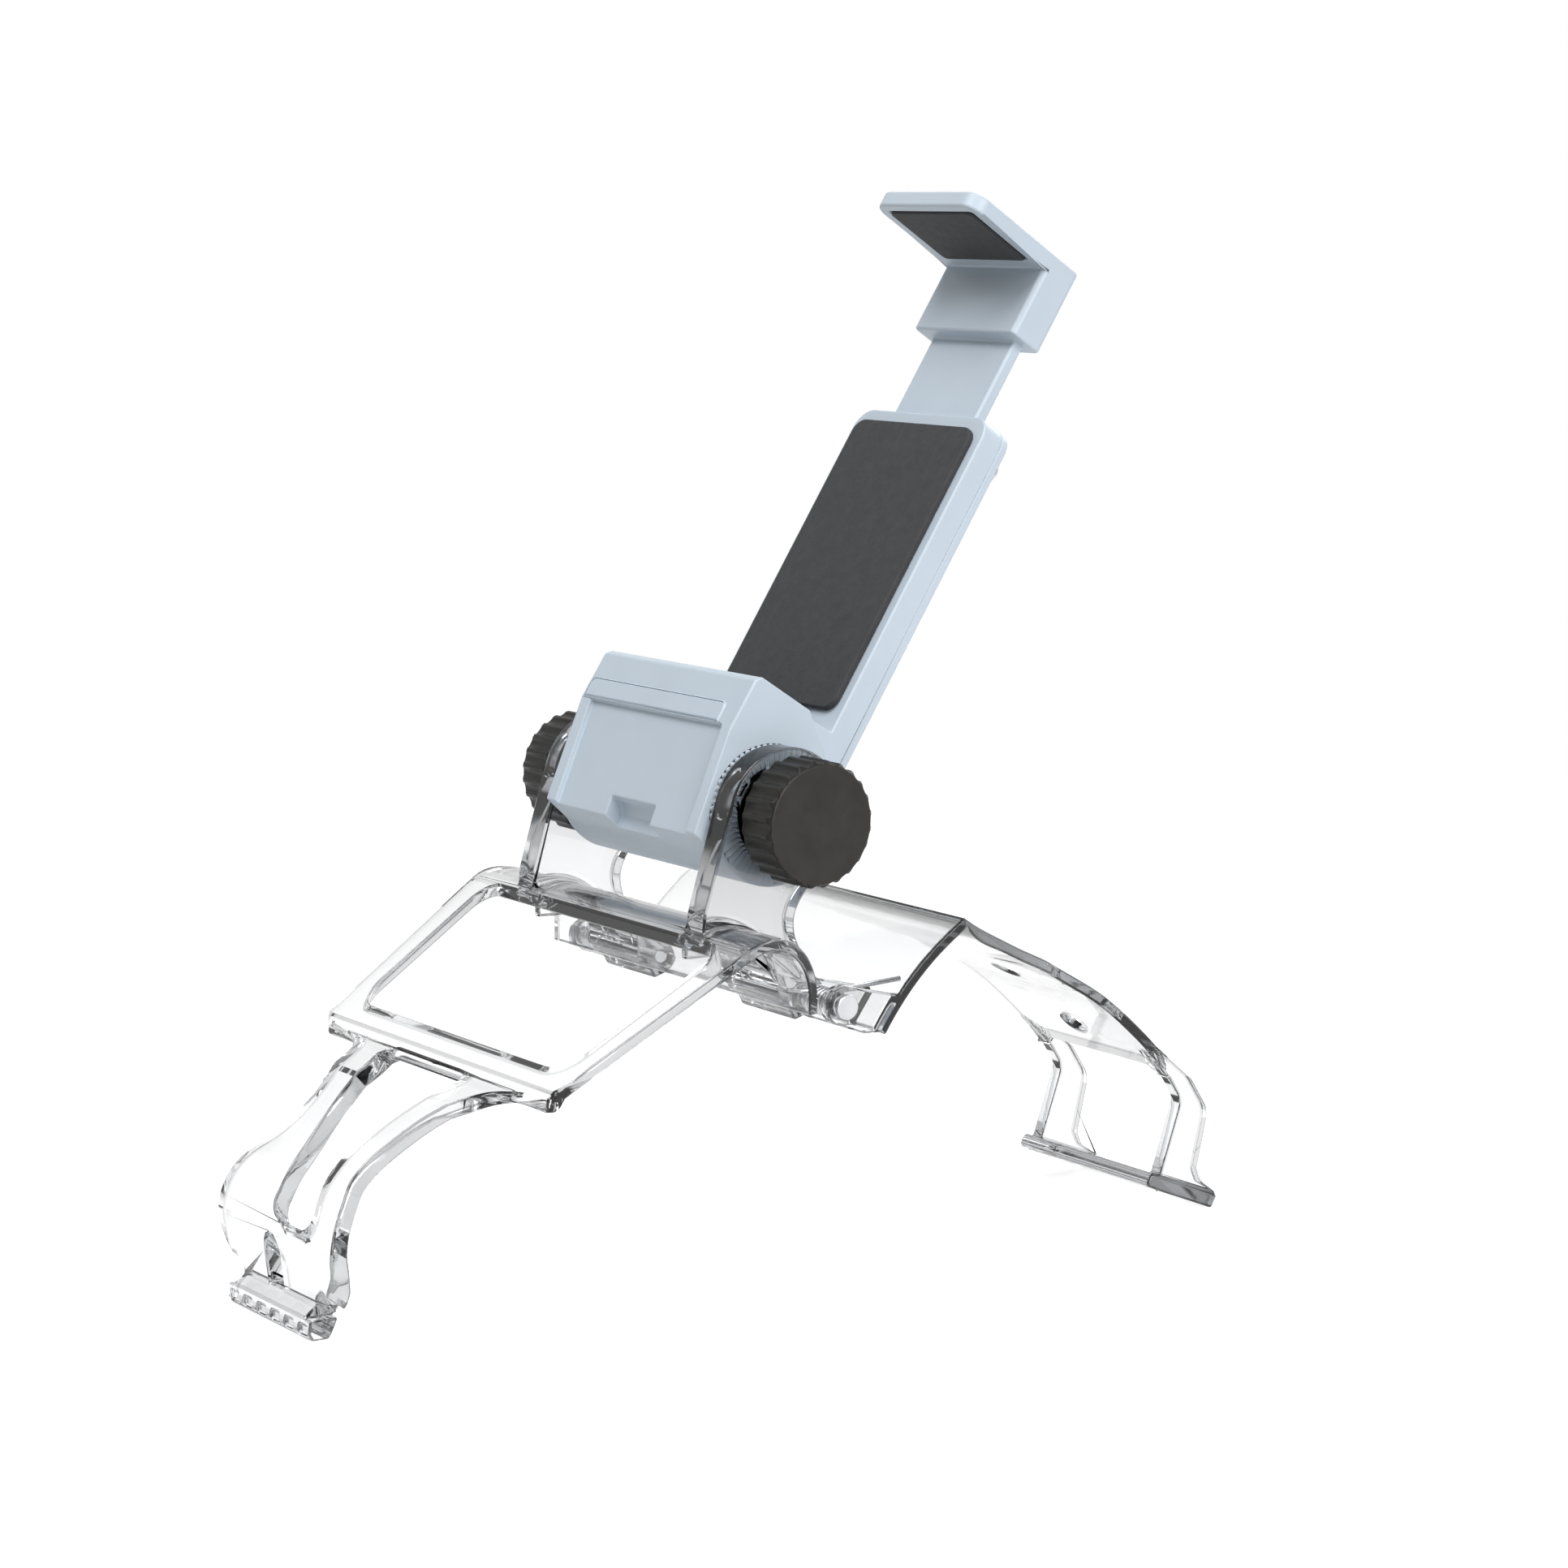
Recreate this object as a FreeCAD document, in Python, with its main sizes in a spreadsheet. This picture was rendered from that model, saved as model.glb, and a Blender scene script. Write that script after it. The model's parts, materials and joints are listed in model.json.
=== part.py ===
import FreeCAD, Part
import math
import os
import Sketcher
from FreeCAD import Placement, Rotation, Vector

# Phone clip for a game controller, in millimetres.
# X runs across the clip, Y away from the user and Z up. The origin lies on the
# surface that the clip stands on, in the middle between its hook and its foot.

os.makedirs("parts", exist_ok=True)
doc = FreeCAD.newDocument("phone_clip")

SIZES = [
    # front bracket, side view
    ("frame_t", 1.5, "wall of the touch pad frame and its crest"),
    ("arm_t", 2.4, "wall of the front arm"),
    ("crease_y", -47.6, "near edge of the touch pad frame"),
    ("crease_z", 32.0, "height of the near edge"),
    ("frame_slope", 32.7, "slope of the frame in degrees"),
    ("crest_r", 8.6, "radius of the crest behind the frame"),
    ("crest_back_y", -10.2, "back face of the turned down crest"),
    ("curl_low_z", 38.2, "lower edge of the turned down crest"),
    ("lip_drop", 1.3, "height of the frame's front lip"),
    ("arm_bend_y", -54.5, "end of the arm's gentle slope"),
    ("arm_bend_z", 28.4, "height there"),
    ("arm_turn_y", -66.0, "start of the arm's downward turn"),
    ("arm_turn_z", 19.9, "height there"),
    ("shin_r", 11.4, "radius of the arm's downward turn"),
    ("shin_low_y", -69.4, "lower end of the arm"),
    ("shin_low_z", 2.6, "height there"),
    # front bracket, widths and openings
    ("frame_near_hw", 28.8, "half width of the frame at its near edge"),
    ("frame_far_hw", 33.4, "half width of the frame at its crest"),
    ("curl_inset", 3.4, "step in from the crest to the turned down part"),
    ("curl_hw", "=frame_far_hw - curl_inset", "half width of the turned down crest"),
    ("side_bar_near", 3.2, "side bar beside the window, near"),
    ("side_bar_far", 5.1, "side bar beside the window, far"),
    ("window_near_hw", "=frame_near_hw - side_bar_near", "half width of the window, near"),
    ("window_far_hw", "=frame_far_hw - side_bar_far", "half width of the window, far"),
    ("near_bar_w", 2.8, "near bar, along Y"),
    ("window_far_y", -23.4, "far edge of the window"),
    ("hook_hw", 10.9, "half width of the hook"),
    ("hook_foot_z", 2.6, "height of the hook's wide foot"),
    ("neck_hw", 9.4, "half width of the neck above it"),
    ("hook_depth", 3.3, "hook, front to tip"),
    ("hook_rise", 3.4, "height of the hook"),
    # hinge
    ("hinge_y", -6.2, "hinge axis"),
    ("hinge_z", 38.9, "hinge axis height"),
    ("pin_r", 1.0, "hinge pin radius"),
    ("pin_fit", 0.05, "running clearance of a pin or stud, radial"),
    ("seat_fit", 0.02, "clearance of a pressed or moulded in part, radial"),
    ("lug_inner", 10.4, "inner end of a hinge lug"),
    ("pin_head_r", 1.6, "radius of a hinge pin's head"),
    ("pin_head_t", 0.8, "thickness of the head"),
    ("lug_boss_r", 2.4, "boss round the pin on a lug"),
    ("knuckle_t", 1.6, "thickness of a knuckle of the rear bracket"),
    ("knuckle_r", 2.6, "radius of a knuckle"),
    ("side_gap", 0.3, "clearance between pieces that move side by side"),
    ("spring_turns", 4, "turns of a torsion spring"),
    ("spring_wire_r", 0.32, "wire radius of a torsion spring"),
    # rear bracket
    ("rear_t", 1.5, "wall of the rear bracket"),
    ("saddle_hw", 30.2, "half width of the saddle"),
    ("ridge_y", 12.7, "ridge of the saddle"),
    ("ridge_z", 48.7, "height of the ridge"),
    ("saddle_low_y", -0.7, "lower edge of the saddle"),
    ("saddle_low_z", 35.3, "height there"),
    ("rear_arm_hw", 14.0, "half width of the rear arm"),
    ("taper_end_y", 42.0, "where the rear arm has its full slenderness"),
    ("cheek_hw", 14.4, "half width of the lower leg"),
    ("cheek_t", 2.3, "thickness of a leg cheek"),
    ("port_top_y", 60.6, "upper edge of the port window"),
    ("sole_t", 1.8, "thickness of the sole"),
    ("vent_r", 2.0, "radius of the round holes in the rear arm"),
    # ears and knobs
    ("spring_space", 4.3, "room for a torsion spring between two knuckles"),
    ("ear_t", 4.0, "thickness of an ear"),
    ("ear_inner", "=saddle_hw - 2 * knuckle_t - spring_space - side_gap - ear_t", "inner face of an ear"),
    ("ear_r", 8.9, "radius of an ear's head"),
    ("ear_root_r", 1.2, "rounded root of an ear"),
    ("knob_y", -9.85, "knob axis"),
    ("knob_z", 62.08, "knob axis height"),
    ("knob_r", 8.1, "knob radius"),
    ("knob_len", 6.5, "knob length"),
    ("flutes", 24, "flutes round a knob"),
    ("flute_r", 0.9, "radius of a flute"),
    ("flute_out", 0.42, "flute centre, outside the knob's rim"),
    ("stud_r", 2.0, "radius of a stud"),
    ("stud_head_r", 4.2, "radius of a stud's moulded in head"),
    ("stud_head_t", 1.6, "thickness of that head"),
    ("washer_r", 5.2, "outer radius of a washer"),
    ("washer_t", 0.6, "washer thickness"),
    ("nut_w", 7.0, "square nut, across flats"),
    ("nut_t", 3.2, "square nut thickness"),
    # clamp body, measured from the knob axis: back (away from the screen) and up
    ("recline", 31.5, "recline of the clamp in degrees"),
    ("ring_gap", 0.25, "clearance between a ring's teeth and the ear"),
    ("block_hw", "=ear_inner - ring_h - ring_gap", "half width of the clamp block"),
    ("block_side_t", 6.8, "thickness of the clamp block's side"),
    ("ring_r", 8.7, "outer radius of the toothed ring"),
    ("ring_inner_r", 6.2, "inner radius of the toothed ring"),
    ("ring_h", 0.35, "height of the ring's teeth"),
    ("ring_teeth", 60, "teeth of the ring"),
    ("barrel_r", 9.3, "barrel of the block round the knob axis"),
    ("lip_front", 10.9, "front of the lower lip, before the axis"),
    ("ledge_up", 14.2, "ledge that carries the phone, above the axis"),
    ("rest_face", 4.5, "back of the phone, behind the axis"),
    ("pad_t", 0.9, "thickness of the soft pads"),
    ("wall_t", 1.2, "front and rear walls of the slide channel"),
    ("channel_d", 2.2, "depth of the slide channel"),
    ("plate_hw", 14.5, "half width of the back plate"),
    ("plate_top", 61.5, "top of the back plate, above the axis"),
    ("tongue_hw", 9.8, "half width of the jaw's tongue"),
    ("slide_fit", 0.25, "clearance of the tongue in its channel"),
    ("tongue_low", 30.0, "lower end of the tongue, above the axis"),
    ("jaw_gap", 69.9, "gap between the jaws as shown"),
    ("jaw_hw", 11.0, "half width of the upper jaw"),
    ("jaw_t", 2.3, "thickness of the upper jaw"),
    ("jaw_front", 10.5, "front of the upper jaw, before the axis"),
    ("pull_spring_r", 0.75, "mean radius of a jaw spring"),
    ("pull_wire_r", 0.18, "wire radius of a jaw spring"),
    ("screw_r", 0.8, "radius of a cover screw"),
    ("screw_head_r", 1.5, "radius of a cover screw's head"),
]

sheet = doc.addObject("Spreadsheet::Sheet", "Sizes")
for row, (alias, value, meaning) in enumerate(SIZES, start=1):
    sheet.set("A%d" % row, meaning)
    sheet.setAlias("B%d" % row, alias)
for row, (alias, value, meaning) in enumerate(SIZES, start=1):
    sheet.set("B%d" % row, str(value))
doc.recompute()


def size(alias):
    return float(sheet.get(alias))


# Small tools for outlines

def side(y, z, x=0.0):
    """A point of the side view."""
    return Vector(x, y, z)


def polyline(points):
    """Straight edges through the points."""
    return [Part.makeLine(a, b) for a, b in zip(points, points[1:])]


def smooth(points):
    """One smooth curve through the points."""
    curve = Part.BSplineCurve()
    curve.interpolate(points)
    return curve.toShape()


def closed_face(edges):
    """A flat face inside edges that follow each other."""
    return Part.Face(Part.Wire(Part.__sortEdges__(edges)))


def across(face, low, high):
    """A side view face made solid from x = low to x = high."""
    moved = face.translated(Vector(low, 0, 0))
    return moved.extrude(Vector(high - low, 0, 0))


def mirrored(shape):
    """The same piece on the other side of the clip."""
    return shape.mirror(Vector(0, 0, 0), Vector(1, 0, 0))


def both_sides(shape):
    return [shape, mirrored(shape)]


def x_cylinder(radius, low, high, y, z):
    """A cylinder along X."""
    return Part.makeCylinder(radius, high - low, Vector(low, y, z), Vector(1, 0, 0))


def joined(first, others):
    return first.fuse(others).removeSplitter()


def unit(angle):
    """A side view direction, from an angle in degrees above +Y."""
    return side(math.cos(math.radians(angle)), math.sin(math.radians(angle)))


def quarter_turned(direction):
    """The side view direction turned 90 degrees clockwise, seen from +X."""
    return side(direction.z, -direction.y)


# Places that several pieces share

HINGE = side(size("hinge_y"), size("hinge_z"))
KNOB = side(size("knob_y"), size("knob_z"))
CREASE = side(size("crease_y"), size("crease_z"))
RIDGE = side(size("ridge_y"), size("ridge_z"))
EAR_OUTER = size("ear_inner") + size("ear_t")
KNUCKLE_INNER = EAR_OUTER + size("side_gap")
KNUCKLE_OUTER = size("saddle_hw") - size("knuckle_t")
SPRING_LOW = KNUCKLE_INNER + size("knuckle_t") + size("side_gap")
SPRING_HIGH = KNUCKLE_OUTER - size("side_gap")
SPRING_R = size("pin_r") + size("spring_wire_r") + size("side_gap")
KNOB_INNER = EAR_OUTER + size("washer_t") + 0.5 * size("side_gap")
KNOB_OUTER = KNOB_INNER + size("knob_len")


# Front bracket: touch pad frame, front arm with its hook, ears and hinge lugs

def crest_points():
    """Start, centre and end of the crest's arc on the outer face."""
    slope = unit(size("frame_slope"))
    normal = quarter_turned(slope)
    centre_y = size("crest_back_y") - size("crest_r")
    start_y = centre_y - normal.y * size("crest_r")
    run = (start_y - CREASE.y) / slope.y
    start = CREASE + slope * run
    centre = start + normal * size("crest_r")
    end = side(size("crest_back_y"), centre.z)
    top = centre + (unit(45.0) * size("crest_r"))
    return start, top, end


def front_section(thickness):
    """Side view of the front bracket's wall, from the shin to the crest."""
    start, top, end = crest_points()
    bend = side(size("arm_bend_y"), size("arm_bend_z"))
    turn = side(size("arm_turn_y"), size("arm_turn_z"))
    low = side(size("shin_low_y"), size("shin_low_z"))
    lip = CREASE + side(-0.5, -1.0) * size("lip_drop")
    along = (turn - bend).normalize()
    centre = turn + quarter_turned(along * -1) * size("shin_r")
    shin = side(centre.y - size("shin_r"), centre.z)
    shin_mid = centre + (unit(152.0) * size("shin_r"))
    last = side(end.y, size("curl_low_z"))
    edges = [Part.makeLine(low, shin)]
    edges.append(Part.Arc(shin, shin_mid, turn).toShape())
    edges += polyline([turn, bend, lip, CREASE, start])
    edges.append(Part.Arc(start, top, end).toShape())
    edges.append(Part.makeLine(end, last))
    wire = Part.Wire(edges)
    return wire.makeOffset2D(thickness, 0, True, True)


def plan_face(points, radii):
    """A flat XY face with rounded corners."""
    return rounded_face([Vector(x, y, 0) for x, y in points], radii)


def rounded_face(points, radii):
    """A flat face whose corners are rounded, each by its own radius."""
    edges = []
    ends = []
    count = len(points)
    for index, corner in enumerate(points):
        before = (points[index - 1] - corner).normalize()
        after = (points[(index + 1) % count] - corner).normalize()
        radius = radii[index]
        if radius <= 0:
            ends.append((corner, corner))
            continue
        half = before.getAngle(after) / 2
        reach = radius / math.tan(half)
        start = corner + before * reach
        end = corner + after * reach
        inward = (before + after).normalize()
        middle = corner + inward * (radius / math.sin(half) - radius)
        edges.append(Part.Arc(start, middle, end).toShape())
        ends.append((start, end))
    for index in range(count):
        start = ends[index][1]
        end = ends[(index + 1) % count][0]
        if start.distanceToPoint(end) > 1e-6:
            edges.append(Part.makeLine(start, end))
    return closed_face(edges)


def frame_outline():
    """Plan of the touch pad frame, with its window cut out."""
    near_y = CREASE.y - 0.5 * size("lip_drop")
    crest_y = crest_points()[0].y + 2.0
    back_y = size("crest_back_y") + 1.0
    near = size("frame_near_hw")
    far = size("frame_far_hw")
    curl = size("curl_hw")
    right = [(near, near_y), (far, crest_y), (curl + 1.2, back_y - 5.0), (curl, back_y)]
    left = [(-x, y) for x, y in reversed(right)]
    plan = plan_face(right + left, [2.2, 6.0, 4.0, 0, 0, 4.0, 6.0, 2.2])
    window_near = CREASE.y + size("near_bar_w")
    far_hw = size("window_far_hw")
    near_hw = size("window_near_hw")
    far_y = size("window_far_y")
    corners = [(near_hw, window_near), (far_hw, far_y), (-far_hw, far_y), (-near_hw, window_near)]
    window = plan_face(corners, [4.5, 2.5, 2.5, 4.5])
    return plan.cut(window)


ARM_VIEW = unit(-36.87)
ARM_REACH = 80.0


def arm_point(x, along):
    """A point of the arm's front outline, seen square to its slope."""
    base = quarter_turned(ARM_VIEW) * along
    return Vector(x, base.y, base.z) - ARM_VIEW * ARM_REACH


def arm_outline():
    """Front outline of the arm: flared at the frame, waisted, wide at the shin."""
    right = [(27.6, 3.9), (20.2, 5.0), (16.3, 7.0), (14.6, 9.8), (13.0, 12.6), (11.6, 17.0),
             (11.2, 20.8), (12.1, 24.0), (13.7, 26.6), (14.6, 29.4), (15.1, 33.4), (14.7, 35.4)]
    shoulder = [(13.6, 36.5), (12.4, 37.3), (11.6, 36.8), (9.8, 37.9), (9.4, 41.5)]
    top = [(27.6, 0.0), (27.6, 3.9)]
    edges = []
    for sign in (1, -1):
        edges += polyline([arm_point(sign * x, a) for x, a in top])
        edges.append(smooth([arm_point(sign * x, a) for x, a in right]))
        edges += polyline([arm_point(sign * x, a) for x, a in right[-1:] + shoulder])
    edges.append(Part.makeLine(arm_point(27.6, 0.0), arm_point(-27.6, 0.0)))
    edges.append(Part.makeLine(arm_point(9.4, 41.5), arm_point(-9.4, 41.5)))
    return closed_face(edges)


def arm_slots():
    """The long opening of the arm and the short slot above its hook."""
    left = [(-10.2, 6.4), (-8.0, 9.9), (-6.6, 13.9), (-5.0, 17.7), (-3.0, 21.9),
            (-1.6, 25.2), (-0.9, 28.6)]
    right = [(8.4, 28.8), (6.6, 24.4), (5.6, 20.8), (5.9, 17.0), (7.2, 12.6), (8.6, 9.6), (9.4, 7.4)]
    edges = [smooth([arm_point(x, a) for x, a in left])]
    edges.append(smooth([arm_point(x, a) for x, a in right]))
    edges.append(Part.Arc(arm_point(-10.2, 6.4), arm_point(-9.5, 4.9), arm_point(-8.0, 4.4)).toShape())
    edges.append(Part.makeLine(arm_point(-8.0, 4.4), arm_point(6.6, 4.4)))
    edges.append(Part.Arc(arm_point(6.6, 4.4), arm_point(8.8, 5.3), arm_point(9.4, 7.4)).toShape())
    edges.append(Part.Arc(arm_point(-0.9, 28.6), arm_point(-0.3, 30.9), arm_point(1.6, 31.7)).toShape())
    edges.append(Part.makeLine(arm_point(1.6, 31.7), arm_point(6.4, 31.7)))
    edges.append(Part.Arc(arm_point(6.4, 31.7), arm_point(8.3, 30.8), arm_point(8.4, 28.8)).toShape())
    long_slot = closed_face(edges)
    width = 1.9
    middle = -0.7
    low = [arm_point(middle - width, 35.6), arm_point(middle - width, 39.0)]
    edges = polyline(low + [arm_point(middle + width, 39.0), arm_point(middle + width, 35.6)])
    edges.append(Part.Arc(low[0], arm_point(middle, 33.6), arm_point(middle + width, 35.6)).toShape())
    return [long_slot, closed_face(edges)]


def hook_solid():
    """The hook under the controller's edge, with its grip ribs."""
    front = size("shin_low_y") - 1.9
    back = front + size("hook_depth")
    rise = size("hook_rise")
    inner = size("shin_low_y") + size("arm_t")
    points = [side(front + 1.9, rise + 0.8), side(front + 0.2, rise - 0.7), side(front, 0.9),
              side(front + 0.5, 0.0), side(back - 0.5, 0.0), side(back, 0.7),
              side(inner, rise - 0.4), side(inner, rise + 0.8)]
    face = closed_face(polyline(points + points[:1]))
    foot = across(face, -size("hook_hw"), size("hook_hw"))
    foot = foot.common(Part.makeBox(60, 60, size("hook_foot_z"), Vector(-30, front - 30, 0)))
    neck = across(face, -size("neck_hw"), size("neck_hw"))
    solid = joined(foot, [neck])
    grooves = []
    pitch = 2 * size("hook_hw") / 6
    for index in range(6):
        middle = (index - 2.5) * pitch
        groove = Part.makeBox(pitch * 0.6, 1.1, 1.3, Vector(middle - pitch * 0.3, front - 0.6, 0.5))
        grooves.append(groove)
    return solid.cut(grooves)


def ear_solid():
    """One ear: round head, straight front edge and a waisted rear edge."""
    foot = side(-22.3, 50.5)
    reach = KNOB - foot
    lean = math.degrees(math.atan2(reach.z, reach.y))
    spread = math.degrees(math.asin(size("ear_r") / reach.Length))
    tangent_length = math.sqrt(reach.Length ** 2 - size("ear_r") ** 2)
    touch = foot + unit(lean + spread) * tangent_length
    top = KNOB + unit(60.0) * size("ear_r")
    leave = KNOB + unit(-52.0) * size("ear_r")
    waist = [leave, side(-6.9, 52.3), side(-8.5, 49.3), side(-8.1, 46.3), side(-6.3, 43.4),
             HINGE + unit(50.0) * size("lug_boss_r")]
    low = HINGE + unit(-90.0) * size("lug_boss_r")
    edges = [Part.makeLine(foot, touch)]
    edges.append(Part.Arc(touch, top, leave).toShape())
    edges.append(smooth(waist))
    edges += [Part.Arc(waist[-1], HINGE + unit(-20.0) * size("lug_boss_r"), low).toShape()]
    edges += polyline([low, side(-8.1, 35.9), side(-12.2, 42.8), side(-20.5, 45.4), side(-22.5, 47.4), foot])
    return across(closed_face(edges), size("ear_inner"), EAR_OUTER)


def lug_solid():
    """One hinge lug under the crest, a wedge that ends in a round boss."""
    boss = size("lug_boss_r")
    rear = HINGE + unit(60.0) * boss
    low = HINGE + unit(-90.0) * boss
    edges = polyline([low, side(-8.1, 35.9), side(-12.2, 42.8), side(-12.6, 45.6), side(-11.6, 45.6), rear])
    edges.append(Part.Arc(rear, HINGE + unit(-15.0) * boss, low).toShape())
    return across(closed_face(edges), size("lug_inner"), EAR_OUTER)


def ear_root():
    """The rounded root between an ear's inner face and the crest."""
    start = crest_points()[0]
    radius = size("ear_root_r")
    inner = size("ear_inner")
    centre = start + quarter_turned(unit(size("frame_slope"))) * size("crest_r")
    base = Vector(inner - radius, centre.y, centre.z)
    ring = Part.makeCylinder(size("crest_r") + radius, radius, base, Vector(1, 0, 0))
    ring = ring.cut(Part.makeTorus(size("crest_r") + radius, radius, base, Vector(1, 0, 0)))
    front = centre.y - 3.5
    keep = Part.makeBox(radius, 13.0, 12.0, Vector(base.x, front, centre.z + 4.0))
    return ring.common(keep)


def front_bracket_shape():
    frame = frame_outline().translated(Vector(0, 0, 20)).extrude(Vector(0, 0, 40))
    upper = across(front_section(size("frame_t")), -40.0, 40.0).common(frame)
    arm = arm_outline().extrude(ARM_VIEW * 2 * ARM_REACH)
    slots = [slot.extrude(ARM_VIEW * 2 * ARM_REACH) for slot in arm_slots()]
    arm_space = Part.makeBox(80, 40, 60, Vector(-40, CREASE.y + 1.0 - 40, -5))
    lower = across(front_section(size("arm_t")), -40.0, 40.0).common(arm)
    lower = lower.common(arm_space).cut(slots)
    pieces = [lower, hook_solid()]
    pieces += both_sides(ear_solid())
    pieces += both_sides(lug_solid())
    pieces += both_sides(ear_root())
    shape = joined(upper, pieces)
    hole_r = size("pin_r") + size("seat_fit")
    holes = both_sides(x_cylinder(hole_r, size("lug_inner") - 1, EAR_OUTER + 1, HINGE.y, HINGE.z))
    bore_r = size("stud_r") + size("pin_fit")
    holes += both_sides(x_cylinder(bore_r, size("ear_inner") - 1, EAR_OUTER + 1, KNOB.y, KNOB.z))
    return shape.cut(holes)


# Rear bracket: saddle, rear arm, lower leg with its port window, sole and knuckles

def shifted(points, distance):
    """Points moved square to their row, to the right of its direction."""
    moved = []
    last = len(points) - 1
    for index, point in enumerate(points):
        run = points[min(index + 1, last)] - points[max(index - 1, 0)]
        moved.append(point + quarter_turned(run.normalize()) * distance)
    return moved


def rear_top():
    """Outer side line of the rear arm, from the ridge to the port window."""
    return [RIDGE, side(16.5, 46.9), side(23.9, 43.9), side(31.1, 41.1), side(38.6, 38.3), side(44.4, 35.5),
            side(49.6, 32.5), side(55.3, 28.1), side(59.4, 24.4), side(62.6, 20.9)]


SADDLE_LOW = side(size("saddle_low_y"), size("saddle_low_z"))
SADDLE_MIDDLE = side(4.7, 42.3)


def saddle_arc():
    """Outer side line of the saddle, from its lower edge to the ridge."""
    return Part.Arc(SADDLE_LOW, SADDLE_MIDDLE, RIDGE).toShape()


def rear_section():
    """Side view of the rear bracket's wall, from the saddle to the port window."""
    arc = saddle_arc()
    centre = arc.Curve.Center
    share = (arc.Curve.Radius - size("rear_t")) / arc.Curve.Radius
    inner = [centre + (point - centre) * share for point in (SADDLE_LOW, SADDLE_MIDDLE, RIDGE)]
    top = rear_top()
    under = [inner[2]] + shifted(top, size("rear_t"))[1:]
    edges = [arc, smooth(top), Part.makeLine(top[-1], under[-1]), smooth(under)]
    edges.append(Part.Arc(inner[0], inner[1], inner[2]).toShape())
    edges.append(Part.makeLine(inner[0], SADDLE_LOW))
    return closed_face(edges)


def rear_outline():
    """Plan of the saddle and the arm that tapers away from it."""
    saddle = size("saddle_hw")
    arm = size("rear_arm_hw")
    knee = size("cheek_hw")
    right = [(saddle, -10.0), (saddle, size("ridge_y")), (arm, size("taper_end_y")),
             (knee, size("port_top_y") - 3.0), (knee, 70.0)]
    left = [(-x, y) for x, y in reversed(right)]
    return plan_face(right + left, [0, 1.5, 10.0, 0, 0, 0, 0, 10.0, 1.5, 0])


def cheek_solid():
    """One cheek of the lower leg."""
    points = [side(58.9, 24.8), side(66.0, 19.2), side(69.3, 14.4), side(67.5, 6.0), side(68.4, 4.2),
              side(71.0, 2.4), side(71.4, 1.6), side(70.5, 0.0), side(60.1, 3.9), side(64.2, 16.3),
              side(62.0, 19.5), side(58.0, 23.6)]
    face = rounded_face(points, [0, 3.0, 3.5, 1.0, 1.0, 0.3, 0.3, 0, 0, 2.5, 2.0, 0])
    return across(face, size("cheek_hw") - size("cheek_t"), size("cheek_hw"))


def sole_solid():
    """The sole that hooks under the controller's far side."""
    tip = side(70.5, 0.0)
    near = side(58.2, 4.7)
    rise = side(0.6, 1.0) * size("sole_t")
    points = [near, tip, side(71.4, 1.6), side(71.0, 2.4), near + rise * 0.95]
    face = rounded_face(points, [0.7, 0, 0.3, 0.3, 0.7])
    return across(face, -size("cheek_hw"), size("cheek_hw"))


def knuckle_solid(low, high):
    """A knuckle and the web that carries it on the saddle's lower edge."""
    radius = size("knuckle_r")
    offsets = [(-0.4, -0.98 * radius), (3.4, -3.9), (6.6, -3.9), (8.8, -1.1), (9.0, 0.6),
               (0.2, 0.99 * radius)]
    points = [HINGE + side(y, z) for y, z in offsets]
    face = rounded_face(points, [0, 1.2, 0.6, 0, 0, 0])
    eye = x_cylinder(radius, low, high, HINGE.y, HINGE.z)
    return joined(eye, [across(face, low, high)])


def web_keep():
    """The space on the user's side of the saddle's inner face, for the webs."""
    circle = saddle_arc().Curve
    inner_r = circle.Radius - 0.5 * size("rear_t")
    return x_cylinder(inner_r, -40.0, 40.0, circle.Center.y, circle.Center.z)


def rear_bracket_shape():
    plan = rear_outline().translated(Vector(0, 0, 5)).extrude(Vector(0, 0, 60))
    wall = across(rear_section(), -40.0, 40.0).common(plan)
    port_top = size("port_top_y")
    port_hw = size("cheek_hw") - size("cheek_t")
    corners = [(port_hw, port_top), (port_hw, 80.0), (-port_hw, 80.0), (-port_hw, port_top)]
    port = plan_face(corners, [2.0, 0, 0, 2.0]).extrude(Vector(0, 0, 60))
    wall = wall.cut(port)
    pieces = both_sides(cheek_solid()) + [sole_solid()]
    knuckles = both_sides(knuckle_solid(KNUCKLE_INNER, KNUCKLE_INNER + size("knuckle_t")))
    knuckles += both_sides(knuckle_solid(KNUCKLE_OUTER, size("saddle_hw")))
    pieces += [knuckle.cut(web_keep()) for knuckle in knuckles]
    shape = joined(wall, pieces)
    hole_r = size("pin_r") + size("pin_fit")
    holes = both_sides(x_cylinder(hole_r, KNUCKLE_INNER - 1, size("saddle_hw") + 1, HINGE.y, HINGE.z))
    for centre, slope in ((side(44.2, 35.6), -28.0), (side(57.0, 26.6), -41.0)):
        normal = unit(slope + 90.0)
        holes.append(Part.makeCylinder(size("vent_r"), 8.0, centre - normal * 5.0, normal))
    return shape.cut(holes)


# Torsion spring on a hinge pin: one leg on the crest, the other on the saddle

SPRING_LEG = 9.95


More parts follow.
